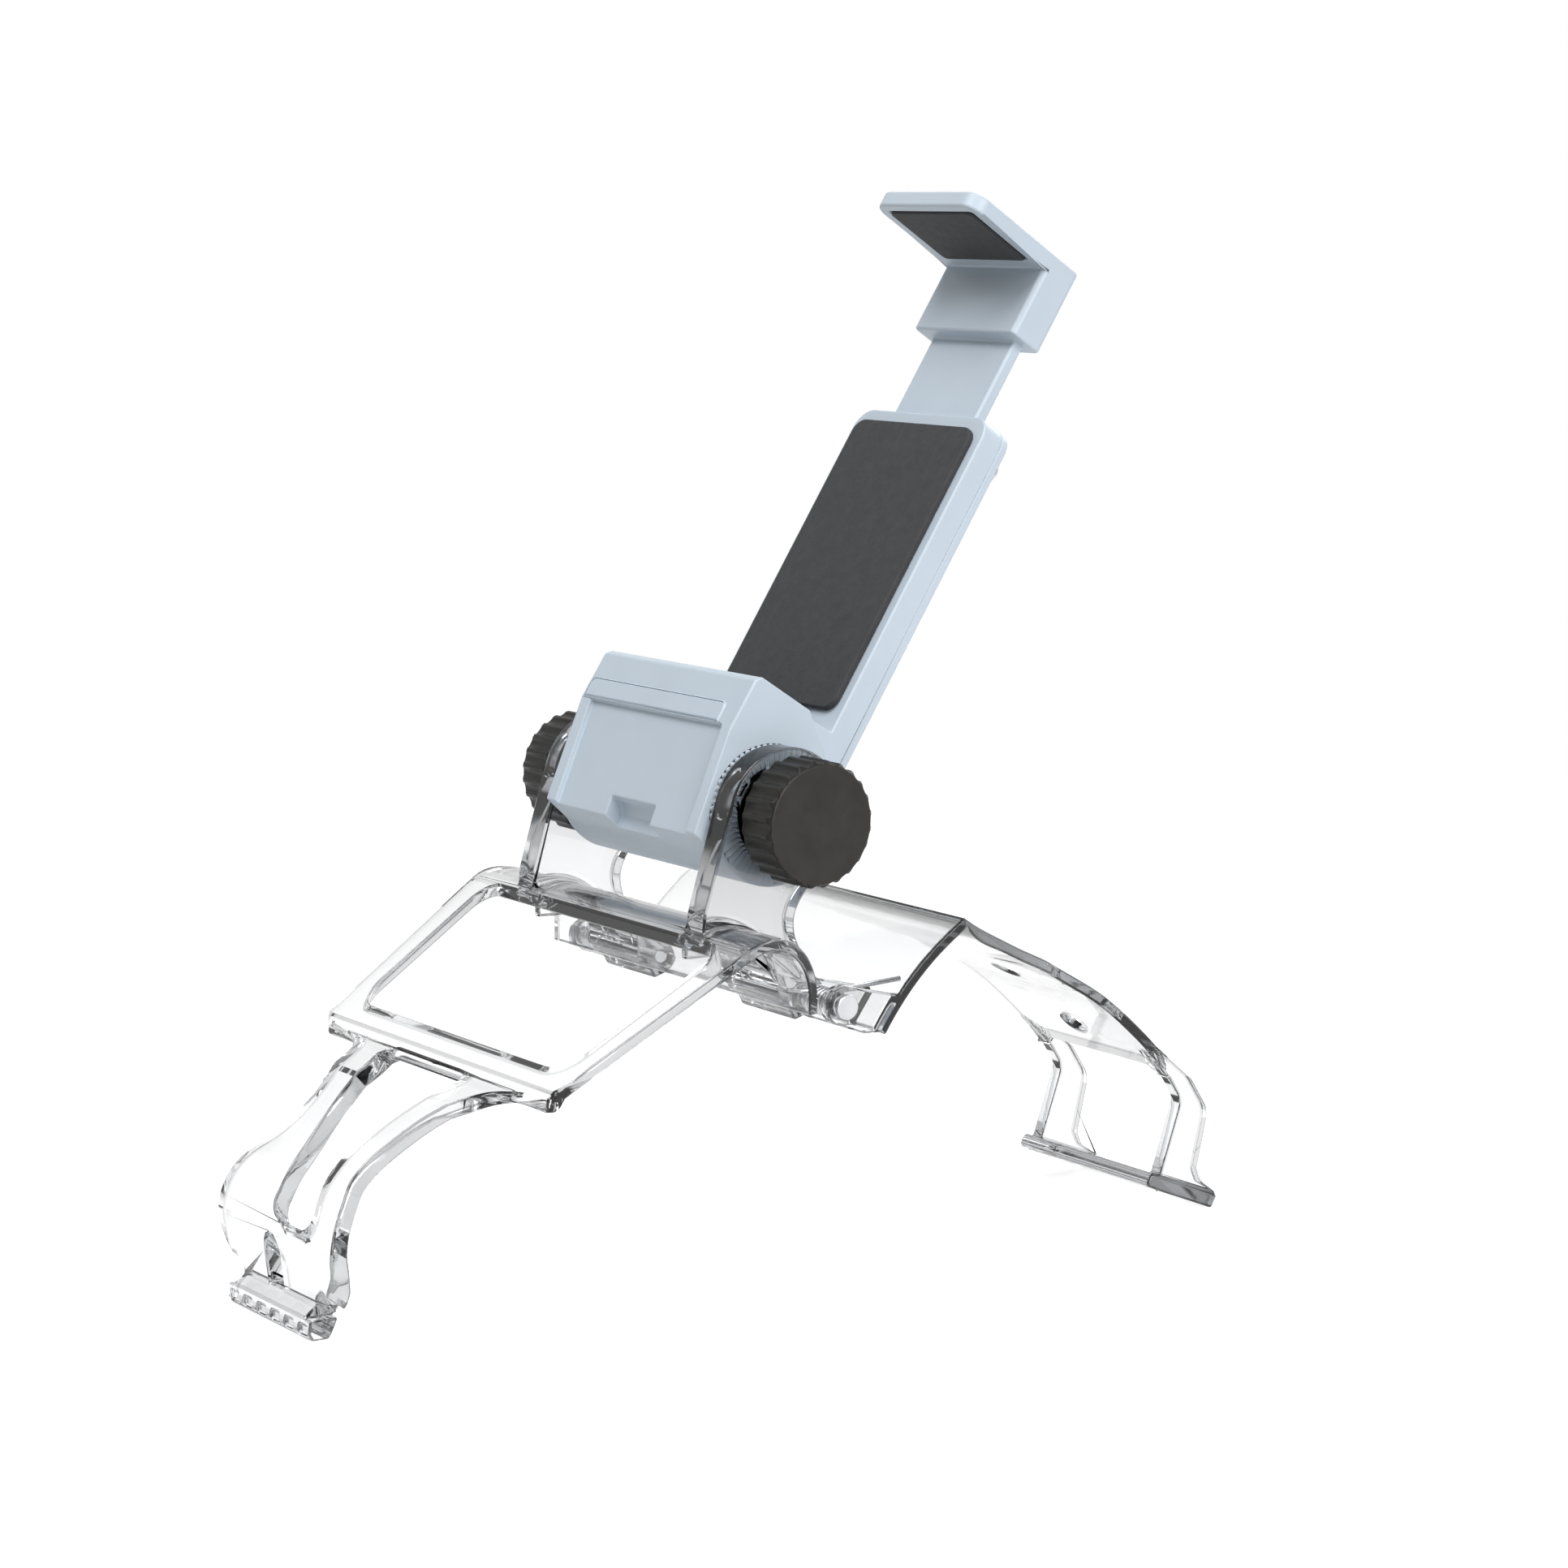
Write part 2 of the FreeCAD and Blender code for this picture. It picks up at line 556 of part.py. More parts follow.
def torsion_spring_shape():
    wire_r = size("spring_wire_r")
    low = SPRING_LOW + wire_r
    high = SPRING_HIGH - wire_r
    leg_rise = 5.0
    turns = size("spring_turns") - leg_rise / 360.0
    helix = Part.makeHelix((high - low) / turns, high - low, SPRING_R)
    turned = Rotation(Vector(0, 1, 0), Vector(0, 0, 1), Vector(1, 0, 0))
    to_axis = Placement(Vector(-high, HINGE.y, HINGE.z), turned)
    helix.Placement = to_axis.multiply(Placement(Vector(), Rotation(Vector(0, 0, 1), 90.0 + leg_rise)))
    coil = helix.Edges[0]
    start = coil.valueAt(coil.FirstParameter)
    end = coil.valueAt(coil.LastParameter)
    start_run = coil.tangentAt(coil.FirstParameter)
    end_run = coil.tangentAt(coil.LastParameter)
    on_crest = end + end_run * ((size("crest_back_y") + 0.05 - end.y) / end_run.y)
    on_saddle = start - start_run * SPRING_LEG
    path = Part.Wire([Part.makeLine(on_saddle, start), coil, Part.makeLine(end, on_crest)])
    section = Part.Wire([Part.makeCircle(wire_r, on_saddle, start_run)])
    return path.makePipeShell([section], True, False)


# Clamp, in its own side view: Y runs back and Z up, both from the knob axis

CLAMP = Placement(KNOB, Rotation(Vector(1, 0, 0), -size("recline")))
WALL_FRONT = size("rest_face") + size("pad_t")
CHANNEL_FRONT = WALL_FRONT + size("wall_t")
CHANNEL_BACK = CHANNEL_FRONT + size("channel_d")
COVER_BACK = CHANNEL_BACK + size("wall_t")
PANEL_LOW = side(-8.5, -7.5)
PANEL_HIGH = side(-11.0, 6.7)
PANEL_SINK = 0.7
BAND_H = 2.7
NOTCH_W = 10.5
HOLLOW_HW = size("block_hw") - size("block_side_t")
NUT_INNER = HOLLOW_HW + 0.1
SHOULDER_UP = 49.3
TAB_H = 4.0
TAB_W = 0.8
TONGUE_HW = size("tongue_hw") - TAB_W
TONGUE_FRONT = CHANNEL_FRONT + 0.2
TONGUE_BACK = CHANNEL_BACK - size("slide_fit")
SLIDE_MIDDLE = CHANNEL_FRONT + 0.5 * size("channel_d")
JAW_UP = size("ledge_up") + size("jaw_gap")
JAW_BLOCK_H = 10.1
KNOB_HEAD_DEPTH = 2.4
BAR_R = 0.7
BAR_UP = 5.5
PULL_TURNS = 18
PULL_X = 0.5 * HOLLOW_HW + 0.5
PAD_FRONT = -8.8
PAD_HW = size("block_hw") - 4.8
PAD_D = 12.4
PAD_SINK = 0.8
JAW_PAD_HW = 9.0
JAW_PAD_D = 11.5
SCREW_PLACES = [(x, up) for x in (-12.3, 12.3) for up in (8.0, 56.0)]


def block(hw, back_low, back_high, up_low, up_high):
    """A box across the middle of the clamp."""
    corner = Vector(-hw, back_low, up_low)
    return Part.makeBox(2 * hw, back_high - back_low, up_high - up_low, corner)


def block_outline():
    """Side outline of the clamp block with its lower lip and barrel."""
    barrel = size("barrel_r")
    ledge = size("ledge_up")
    low_touch = unit(-118.0) * barrel
    leave = unit(38.0) * barrel
    edges = polyline([low_touch, PANEL_LOW, PANEL_HIGH, side(-size("lip_front"), ledge - 0.8)])
    edges += polyline([side(-size("lip_front"), ledge - 0.8), side(-size("lip_front") + 0.8, ledge)])
    edges += polyline([side(-size("lip_front") + 0.8, ledge), side(-1.3, ledge), side(1.2, 12.1),
                       side(3.8, 10.7)])
    edges.append(Part.makeLine(side(3.8, 10.7), leave))
    edges.append(Part.Arc(leave, unit(-40.0) * barrel, low_touch).toShape())
    return closed_face(edges)


def ring_teeth():
    """The toothed ring on one side of the block."""
    inner = size("ring_inner_r")
    outer = size("ring_r")
    count = int(size("ring_teeth"))
    step = 360.0 / count
    low = size("block_hw") - 0.2
    high = size("block_hw") + size("ring_h")
    teeth = []
    for index in range(count):
        left = index * step - 0.27 * step
        right = index * step + 0.27 * step
        corners = [unit(left) * inner, unit(left) * outer, unit(right) * outer, unit(right) * inner]
        teeth.append(across(closed_face(polyline(corners + corners[:1])), low, high))
    rim = x_cylinder(inner, low, high, 0, 0).cut(x_cylinder(inner - 0.5, low, high, 0, 0))
    return [rim] + teeth


def lip_band():
    """The shallow raised band on the lip's front, above the crease."""
    front = -size("lip_front") - 0.25
    low = PANEL_HIGH.z + 0.25
    left = 0.6 - size("block_hw")
    right = size("block_hw") - 3.4
    corners = [Vector(left, front, low), Vector(right, front, low), Vector(right, front, low + BAND_H),
               Vector(left, front, low + BAND_H)]
    return rounded_face(corners, [0.2, 0.2, 0.9, 0.9]).extrude(Vector(0, 1.0, 0))


def clamp_body_shape():
    hw = size("block_hw")
    plate = size("plate_hw")
    top = size("plate_top")
    ledge = size("ledge_up")
    back_plate = rounded_plate(plate, WALL_FRONT, CHANNEL_BACK, 3.0, top)
    ledge_base = block(plate, -1.5, WALL_FRONT + 0.5, 8.0, ledge)
    shape = joined(across(block_outline(), -hw, hw), [back_plate, ledge_base, lip_band()])
    # front panel between two side rims, and the notch under it
    run = Vector(PANEL_HIGH - PANEL_LOW).normalize()
    inward = quarter_turned(run)
    low = PANEL_LOW - run * 3.0
    corners = [low - inward * 2, PANEL_HIGH - inward * 2, PANEL_HIGH + inward * PANEL_SINK,
               low + inward * PANEL_SINK]
    panel = across(closed_face(polyline(corners + corners[:1])), 2.2 - hw, hw - 2.2)
    notch = Part.makeBox(NOTCH_W, 4.4, 4.0, Vector(-4.1, PANEL_LOW.y - 1.0, PANEL_LOW.z - 1.4))
    barrel = x_cylinder(size("barrel_r") - 1.2, -hw, hw, 0, 0)
    notch = notch.cut(barrel)
    # seat of the cover, hollow of the block and slide channel with its shoulder
    seat = block(plate + 0.1, CHANNEL_BACK, 20.0, -7.0, top + 1)
    hollow = block(HOLLOW_HW, -5.6, 20.0, -2.6, 11.0)
    fit = size("slide_fit")
    wide = block(size("tongue_hw") + fit, CHANNEL_FRONT, 20.0, 9.0, SHOULDER_UP)
    narrow = block(TONGUE_HW + fit, CHANNEL_FRONT, 20.0, 9.0, top + 1)
    # nut pockets, stud bores, pilot holes of the screws and seat of the lower pad
    nut = size("nut_w") / 2 + 0.1
    pocket_w = NUT_INNER - HOLLOW_HW + size("nut_t") + 0.3
    pocket = Part.makeBox(pocket_w, 2 * nut, 2 * nut, Vector(HOLLOW_HW - 0.2, -nut, -nut))
    bore = x_cylinder(size("stud_r") + size("pin_fit"), 8.0, hw + 3, 0, 0)
    cuts = [panel, notch, seat, hollow, wide, narrow] + both_sides(pocket) + both_sides(bore)
    pad_seat = block(PAD_HW + 0.05, PAD_FRONT - 0.05, PAD_FRONT + PAD_D + 0.05, ledge - PAD_SINK, ledge + 5)
    cuts.append(pad_seat.common(block(40, -20, WALL_FRONT - 1.0, 0, 40)))
    for x, up in SCREW_PLACES:
        start = Vector(x, CHANNEL_BACK - 2.7, up)
        cuts.append(Part.makeCylinder(size("screw_r") + size("seat_fit"), 2.8, start, Vector(0, 1, 0)))
    shape = shape.cut(cuts)
    # bar that holds the jaw springs, and the toothed rings
    bar = x_cylinder(BAR_R, -HOLLOW_HW - 0.5, HOLLOW_HW + 0.5, SLIDE_MIDDLE, BAR_UP)
    teeth = ring_teeth()
    return joined(shape, [bar] + teeth + [mirrored(tooth) for tooth in teeth])


def rounded_plate(hw, back_low, back_high, up_low, up_high):
    """A plate across the clamp whose upper corners are rounded."""
    points = [Vector(-hw, back_low, up_low), Vector(hw, back_low, up_low), Vector(hw, back_low, up_high),
              Vector(-hw, back_low, up_high)]
    return rounded_face(points, [0, 0, 3.0, 3.0]).extrude(Vector(0, back_high - back_low, 0))


def upper_jaw_shape():
    """The sliding jaw: plate over the screen, block behind it and tongue."""
    hw = size("jaw_hw")
    front = -size("jaw_front")
    plan = plan_face([(-hw, front), (hw, front), (hw, COVER_BACK), (-hw, COVER_BACK)], [2.5, 2.5, 0.8, 0.8])
    plate = plan.translated(Vector(0, 0, JAW_UP)).extrude(Vector(0, 0, size("jaw_t")))
    low = JAW_UP - JAW_BLOCK_H
    rest = size("rest_face")
    back_plan = plan_face([(-hw, rest), (hw, rest), (hw, COVER_BACK), (-hw, COVER_BACK)],
                          [0.8, 0.8, 0.8, 0.8])
    back = back_plan.translated(Vector(0, 0, low)).extrude(Vector(0, 0, JAW_BLOCK_H + 1.0))
    tongue = block(TONGUE_HW, TONGUE_FRONT, TONGUE_BACK, size("tongue_low"), low + 1.0)
    tabs = block(size("tongue_hw"), TONGUE_FRONT, TONGUE_BACK, size("tongue_low"), size("tongue_low") + TAB_H)
    seat = block(JAW_PAD_HW + 0.05, PAD_FRONT - 0.05, PAD_FRONT + JAW_PAD_D + 0.05, JAW_UP - 5,
                 JAW_UP + PAD_SINK)
    return joined(plate, [back, tongue, tabs]).cut(seat)


def jaw_spring_shape():
    """A coil spring under the tongue, standing on the bar."""
    wire_r = size("pull_wire_r")
    low = BAR_UP + BAR_R + wire_r
    high = size("tongue_low") - wire_r
    helix = Part.makeHelix((high - low) / PULL_TURNS, high - low, size("pull_spring_r"))
    helix.Placement = Placement(Vector(PULL_X, SLIDE_MIDDLE, low), Rotation())
    coil = helix.Edges[0]
    start = coil.FirstParameter
    section = Part.Wire([Part.makeCircle(wire_r, coil.valueAt(start), coil.tangentAt(start))])
    return Part.Wire([coil]).makePipeShell([section], True, False)


# Objects of the pieces that are made by functions

def feature(name, shape, placement):
    obj = doc.addObject("Part::Feature", name)
    obj.Label = name
    obj.Shape = shape
    obj.Placement = placement
    NODES.append(obj)
    return obj


NODES = []
HOME = Placement()
feature("front_bracket", front_bracket_shape(), HOME)
feature("rear_bracket", rear_bracket_shape(), HOME)
spring = torsion_spring_shape()
feature("torsion_spring_left", spring, HOME)
feature("torsion_spring_right", mirrored(spring), HOME)
feature("clamp_body", clamp_body_shape(), CLAMP)
feature("upper_jaw", upper_jaw_shape(), CLAMP)
pull = jaw_spring_shape()
feature("jaw_spring_right", pull, CLAMP)
feature("jaw_spring_left", mirrored(pull), CLAMP)


# Pins, studs and screws from primitives

def cylinder(name, radius, length, placement):
    obj = doc.addObject("Part::Cylinder", name)
    obj.setExpression("Radius", radius)
    obj.setExpression("Height", length)
    obj.Placement = placement
    return obj


def fused(name, parts, placement):
    obj = doc.addObject("Part::MultiFuse", name)
    obj.Label = name
    obj.Shapes = parts
    obj.Placement = placement
    NODES.append(obj)
    return obj


OUTWARD = {"right": Rotation(Vector(0, 1, 0), 90), "left": Rotation(Vector(0, 1, 0), -90)}
SIGN = {"right": 1, "left": -1}
PIN_INNER = size("lug_inner") + 0.2
for hand in ("left", "right"):
    start = Placement(Vector(SIGN[hand] * PIN_INNER, HINGE.y, HINGE.z), OUTWARD[hand])
    along = size("saddle_hw") + 0.2 - PIN_INNER
    shank = cylinder("pin_shank_" + hand, "Sizes.pin_r", "Sizes.saddle_hw - Sizes.lug_inner + 0.2", HOME)
    outside = Placement(Vector(0, 0, along), Rotation())
    head = cylinder("pin_head_" + hand, "Sizes.pin_head_r", "Sizes.pin_head_t", outside)
    fused("hinge_pin_" + hand, [shank, head], start)

STUD_INNER = 8.5
for hand in ("left", "right"):
    start = Placement(Vector(SIGN[hand] * STUD_INNER, KNOB.y, KNOB.z), OUTWARD[hand])
    along = KNOB_INNER + KNOB_HEAD_DEPTH - STUD_INNER
    shank = cylinder("stud_shank_" + hand, "Sizes.stud_r", "%s + 0.5" % along, HOME)
    outside = Placement(Vector(0, 0, along), Rotation())
    head = cylinder("stud_head_" + hand, "Sizes.stud_head_r", "Sizes.stud_head_t", outside)
    fused("knob_stud_" + hand, [shank, head], start)

SCREW_HEAD_T = 0.8
SCREW_LEN = 3.6
screws = []
for number, (x, up) in enumerate(SCREW_PLACES, start=1):
    head = cylinder("screw_head_%d" % number, "Sizes.screw_head_r", str(SCREW_HEAD_T), HOME)
    below = Placement(Vector(0, 0, SCREW_HEAD_T - 0.1), Rotation())
    shank = cylinder("screw_shank_%d" % number, "Sizes.screw_r", str(SCREW_LEN + 0.1), below)
    screw = doc.addObject("Part::MultiFuse", "screw_%d" % number)
    screw.Shapes = [head, shank]
    screw.Placement = Placement(Vector(x, COVER_BACK + SCREW_HEAD_T, up), Rotation(Vector(1, 0, 0), 90))
    screws.append(screw)
group = doc.addObject("Part::Compound", "cover_screws")
group.Label = "cover_screws"
group.Links = screws
group.Placement = CLAMP
NODES.append(group)


# Sketched bodies: washers, nuts, knobs, pads and cover

def value(expression):
    return float(sheet.evalExpression(expression))


def new_body(name, placement):
    body = doc.addObject("PartDesign::Body", name)
    body.Label = name
    body.Placement = placement
    NODES.append(body)
    return body


def origin_part(body, role):
    return [item for item in body.Origin.OriginFeatures if item.Role == role][0]


def new_sketch(body, role, name):
    sketch = body.newObject("Sketcher::SketchObject", name)
    sketch.AttachmentSupport = [(origin_part(body, role), "")]
    sketch.MapMode = "FlatFace"
    return sketch


def pin_point(sketch, geometry, end, x, y):
    """Hold a point of the sketch at two expressions."""
    for kind, axis, expression in (("DistanceX", -2, x), ("DistanceY", -1, y)):
        if expression == "0":
            sketch.addConstraint(Sketcher.Constraint("PointOnObject", geometry, end, axis))
            continue
        rule = Sketcher.Constraint(kind, -1, 1, geometry, end, value(expression))
        index = sketch.addConstraint(rule)
        sketch.setExpression("Constraints[%d]" % index, expression)


def add_profile(sketch, corners):
    """A closed outline whose corners are held by pairs of expressions."""
    points = [Vector(value(x), value(y), 0) for x, y in corners]
    first = sketch.GeometryCount
    count = len(points)
    for index in range(count):
        sketch.addGeometry(Part.LineSegment(points[index], points[(index + 1) % count]), False)
    for index in range(count):
        following = first + (index + 1) % count
        sketch.addConstraint(Sketcher.Constraint("Coincident", first + index, 2, following, 1))
    for index, (x, y) in enumerate(corners):
        pin_point(sketch, first + index, 1, x, y)


def add_circle(sketch, x, y, radius):
    circle = Part.Circle(Vector(value(x), value(y), 0), Vector(0, 0, 1), value(radius))
    index = sketch.addGeometry(circle, False)
    pin_point(sketch, index, 3, x, y)
    rule = sketch.addConstraint(Sketcher.Constraint("Radius", index, value(radius)))
    sketch.setExpression("Constraints[%d]" % rule, radius)


def rectangle(half_width, low, high):
    return [("-(%s)" % half_width, low), (half_width, low), (half_width, high), ("-(%s)" % half_width, high)]


def add_pad(body, sketch, name, length, reverse=False):
    pad = body.newObject("PartDesign::Pad", name)
    pad.Profile = sketch
    pad.Reversed = reverse
    pad.setExpression("Length", length)
    body.Tip = pad
    return pad


def round_corners(body, base, name, direction, radius, keep=None):
    """Round the edges that run along a direction."""
    doc.recompute()
    names = []
    for number, edge in enumerate(base.Shape.Edges, start=1):
        if edge.Curve.TypeId != "Part::GeomLine":
            continue
        run = (edge.Vertexes[1].Point - edge.Vertexes[0].Point).normalize()
        if abs(run.dot(direction)) < 0.999:
            continue
        if keep is None or keep(edge.CenterOfMass):
            names.append("Edge%d" % number)
    fillet = body.newObject("PartDesign::Fillet", name)
    fillet.Base = (base, names)
    fillet.Radius = radius
    body.Tip = fillet


TO_LEFT = Rotation(Vector(0, 0, 1), 180)
SIDES = {"right": Rotation(), "left": TO_LEFT}
BORE = "Sizes.stud_r + Sizes.pin_fit"
for hand in ("left", "right"):
    body = new_body("washer_" + hand, Placement(Vector(SIGN[hand] * EAR_OUTER, KNOB.y, KNOB.z), SIDES[hand]))
    sketch = new_sketch(body, "YZ_Plane", "washer_sketch_" + hand)
    add_circle(sketch, "0", "0", "Sizes.washer_r")
    add_circle(sketch, "0", "0", BORE)
    add_pad(body, sketch, "washer_pad_" + hand, "Sizes.washer_t")

for hand in ("left", "right"):
    place = CLAMP.multiply(Placement(Vector(SIGN[hand] * NUT_INNER, 0, 0), SIDES[hand]))
    body = new_body("square_nut_" + hand, place)
    sketch = new_sketch(body, "YZ_Plane", "nut_sketch_" + hand)
    add_profile(sketch, rectangle("Sizes.nut_w / 2", "-(Sizes.nut_w / 2)", "Sizes.nut_w / 2"))
    add_circle(sketch, "0", "0", BORE)
    add_pad(body, sketch, "nut_pad_" + hand, "Sizes.nut_t")

STUD_SEAT = "Sizes.stud_r + Sizes.seat_fit"
HEAD_SEAT = "Sizes.stud_head_r + Sizes.seat_fit"
HEAD_LOW = "%s - Sizes.seat_fit" % KNOB_HEAD_DEPTH
HEAD_HIGH = "%s + Sizes.stud_head_t + Sizes.seat_fit" % KNOB_HEAD_DEPTH
RIM = 0.6
for hand in ("left", "right"):
    body = new_body("knob_" + hand, Placement(Vector(SIGN[hand] * KNOB_INNER, KNOB.y, KNOB.z), SIDES[hand]))
    sketch = new_sketch(body, "XY_Plane", "knob_sketch_" + hand)
    length = "Sizes.knob_len"
    radius = "Sizes.knob_r"
    rim_r = "%s - %s" % (radius, RIM)
    add_profile(sketch, [("0", STUD_SEAT), ("0", rim_r), (str(RIM), radius),
                         ("%s - %s" % (length, RIM), radius), (length, rim_r), (length, "0"),
                         (HEAD_HIGH, "0"), (HEAD_HIGH, HEAD_SEAT), (HEAD_LOW, HEAD_SEAT),
                         (HEAD_LOW, STUD_SEAT)])
    turned = body.newObject("PartDesign::Revolution", "knob_turned_" + hand)
    turned.Profile = sketch
    turned.ReferenceAxis = (origin_part(body, "X_Axis"), [""])
    turned.Angle = 360.0
    body.Tip = turned
    doc.recompute()
    whole = turned.Shape.Volume
    flute = new_sketch(body, "YZ_Plane", "flute_sketch_" + hand)
    add_circle(flute, "0", "Sizes.knob_r + Sizes.flute_out", "Sizes.flute_r")
    pocket = body.newObject("PartDesign::Pocket", "flute_" + hand)
    pocket.Profile = flute
    pocket.Type = 1
    body.Tip = pocket
    doc.recompute()
    if pocket.Shape.isNull() or pocket.Shape.Volume >= whole - 0.01:
        pocket.Reversed = True
        doc.recompute()
    pattern = body.newObject("PartDesign::PolarPattern", "flutes_" + hand)
    pattern.Originals = [pocket]
    pattern.Axis = (origin_part(body, "X_Axis"), [""])
    pattern.Angle = 360.0
    body.Tip = pattern
    pattern.setExpression("Occurrences", "Sizes.flutes")

body = new_body("lower_pad", CLAMP.multiply(Placement(Vector(0, 0, size("ledge_up") - PAD_SINK), Rotation())))
sketch = new_sketch(body, "XY_Plane", "lower_pad_sketch")
add_profile(sketch, rectangle(str(PAD_HW), str(PAD_FRONT), str(PAD_FRONT + PAD_D)))
pad = add_pad(body, sketch, "lower_pad_pad", "1.0")
round_corners(body, pad, "lower_pad_corners", Vector(0, 0, 1), 1.0)

body = new_body("upper_pad", CLAMP.multiply(Placement(Vector(0, 0, JAW_UP + PAD_SINK - 1.0), Rotation())))
sketch = new_sketch(body, "XY_Plane", "upper_pad_sketch")
add_profile(sketch, rectangle(str(JAW_PAD_HW), str(PAD_FRONT), str(PAD_FRONT + JAW_PAD_D)))
pad = add_pad(body, sketch, "upper_pad_pad", "1.0")
round_corners(body, pad, "upper_pad_corners", Vector(0, 0, 1), 1.0)

BACK_PAD_LOW = "17"
body = new_body("back_pad", CLAMP.multiply(Placement(Vector(0, size("rest_face"), 0), Rotation())))
sketch = new_sketch(body, "XZ_Plane", "back_pad_sketch")
add_profile(sketch, rectangle("Sizes.plate_hw - 1.5", BACK_PAD_LOW, "Sizes.plate_top - 2.0"))
pad = add_pad(body, sketch, "back_pad_pad", "Sizes.pad_t", True)
round_corners(body, pad, "back_pad_corners", Vector(0, 1, 0), 2.0)

body = new_body("clamp_cover", CLAMP.multiply(Placement(Vector(0, CHANNEL_BACK, 0), Rotation())))
sketch = new_sketch(body, "XZ_Plane", "cover_sketch")
add_profile(sketch, rectangle("Sizes.plate_hw", "-3.0", "Sizes.plate_top"))
for x, up in SCREW_PLACES:
    add_circle(sketch, str(x), str(up), "Sizes.screw_r + Sizes.pin_fit")
pad = add_pad(body, sketch, "cover_pad", "Sizes.wall_t", True)
round_corners(body, pad, "cover_corners", Vector(0, 1, 0), 3.0, lambda middle: middle.z > 30)

doc.recompute()


# Check and write

for obj in doc.Objects:
    if "Invalid" in obj.State or "Error" in obj.State:
        raise RuntimeError("%s: %s" % (obj.Name, obj.State))
for obj in NODES:
    shape = obj.Shape
    if shape.isNull() or not shape.isValid() or not shape.Solids:
        raise RuntimeError("bad shape: " + obj.Label)
    box = shape.BoundBox
    corners = (box.XMin, box.XMax, box.YMin, box.YMax, box.ZMin, box.ZMax)
    print("%-22s solids %d volume %9.2f" % (obj.Label, len(shape.Solids), shape.Volume),
          "x %7.2f %7.2f y %7.2f %7.2f z %7.2f %7.2f" % corners)
    shape.exportStep("parts/%s.step" % obj.Label)
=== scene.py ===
import json
import math

import bmesh
import bpy
from bpy.props import FloatProperty, FloatVectorProperty, IntProperty, PointerProperty
from bpy.types import Operator, Panel, PropertyGroup
from mathutils import Matrix, Vector
from mathutils.bvhtree import BVHTree


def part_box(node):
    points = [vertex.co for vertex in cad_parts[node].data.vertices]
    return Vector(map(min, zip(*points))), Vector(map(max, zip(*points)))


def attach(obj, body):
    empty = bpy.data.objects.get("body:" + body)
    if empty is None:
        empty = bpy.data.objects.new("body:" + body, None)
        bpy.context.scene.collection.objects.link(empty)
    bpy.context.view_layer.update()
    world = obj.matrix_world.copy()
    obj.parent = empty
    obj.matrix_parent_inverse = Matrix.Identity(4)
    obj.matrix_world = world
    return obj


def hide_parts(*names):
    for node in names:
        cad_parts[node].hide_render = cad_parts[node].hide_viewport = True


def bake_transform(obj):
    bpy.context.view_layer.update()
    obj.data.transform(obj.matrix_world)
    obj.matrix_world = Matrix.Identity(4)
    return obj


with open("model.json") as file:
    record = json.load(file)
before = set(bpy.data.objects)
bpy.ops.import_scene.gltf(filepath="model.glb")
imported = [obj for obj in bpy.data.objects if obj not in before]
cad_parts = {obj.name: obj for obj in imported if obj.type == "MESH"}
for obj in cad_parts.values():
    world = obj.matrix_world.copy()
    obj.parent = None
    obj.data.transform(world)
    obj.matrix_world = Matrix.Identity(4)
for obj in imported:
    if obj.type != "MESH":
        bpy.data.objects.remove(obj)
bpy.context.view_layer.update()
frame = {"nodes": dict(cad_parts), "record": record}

bl_info = {
    "name": "Phone Clip",
    "version": (1, 0, 0),
    "blender": (4, 5, 0),
    "location": "3D Viewport > Sidebar > Phone Clip",
    "description": "Dresses a game controller's phone clip: clear brackets, pale blue clamp and black knobs",
    "category": "Object",
}

SIDES = ("left", "right")
MM = 0.001

# Face attributes that the finishes read, to paint shade on rounded edges and fluted rims
EDGE_SHADE_MARK = "rounded_edge"
RIM_SHADE_MARK = "fluted_rim"

# The clamp leans back from the upright by this angle; its face and slide follow it.
RECLINE = math.radians(31.5)
CLAMP_UP = Vector((0.0, math.sin(RECLINE), math.cos(RECLINE)))
CLAMP_BACK = Vector((0.0, math.cos(RECLINE), -math.sin(RECLINE)))
ACROSS = Vector((1.0, 0.0, 0.0))

# How triangles join into flat faces, and which corners between faces count as edges
JOIN_GAP = 0.002 * MM
FLAT_ANGLE = math.radians(0.6)
EDGE_ANGLE = math.radians(32)


# Properties

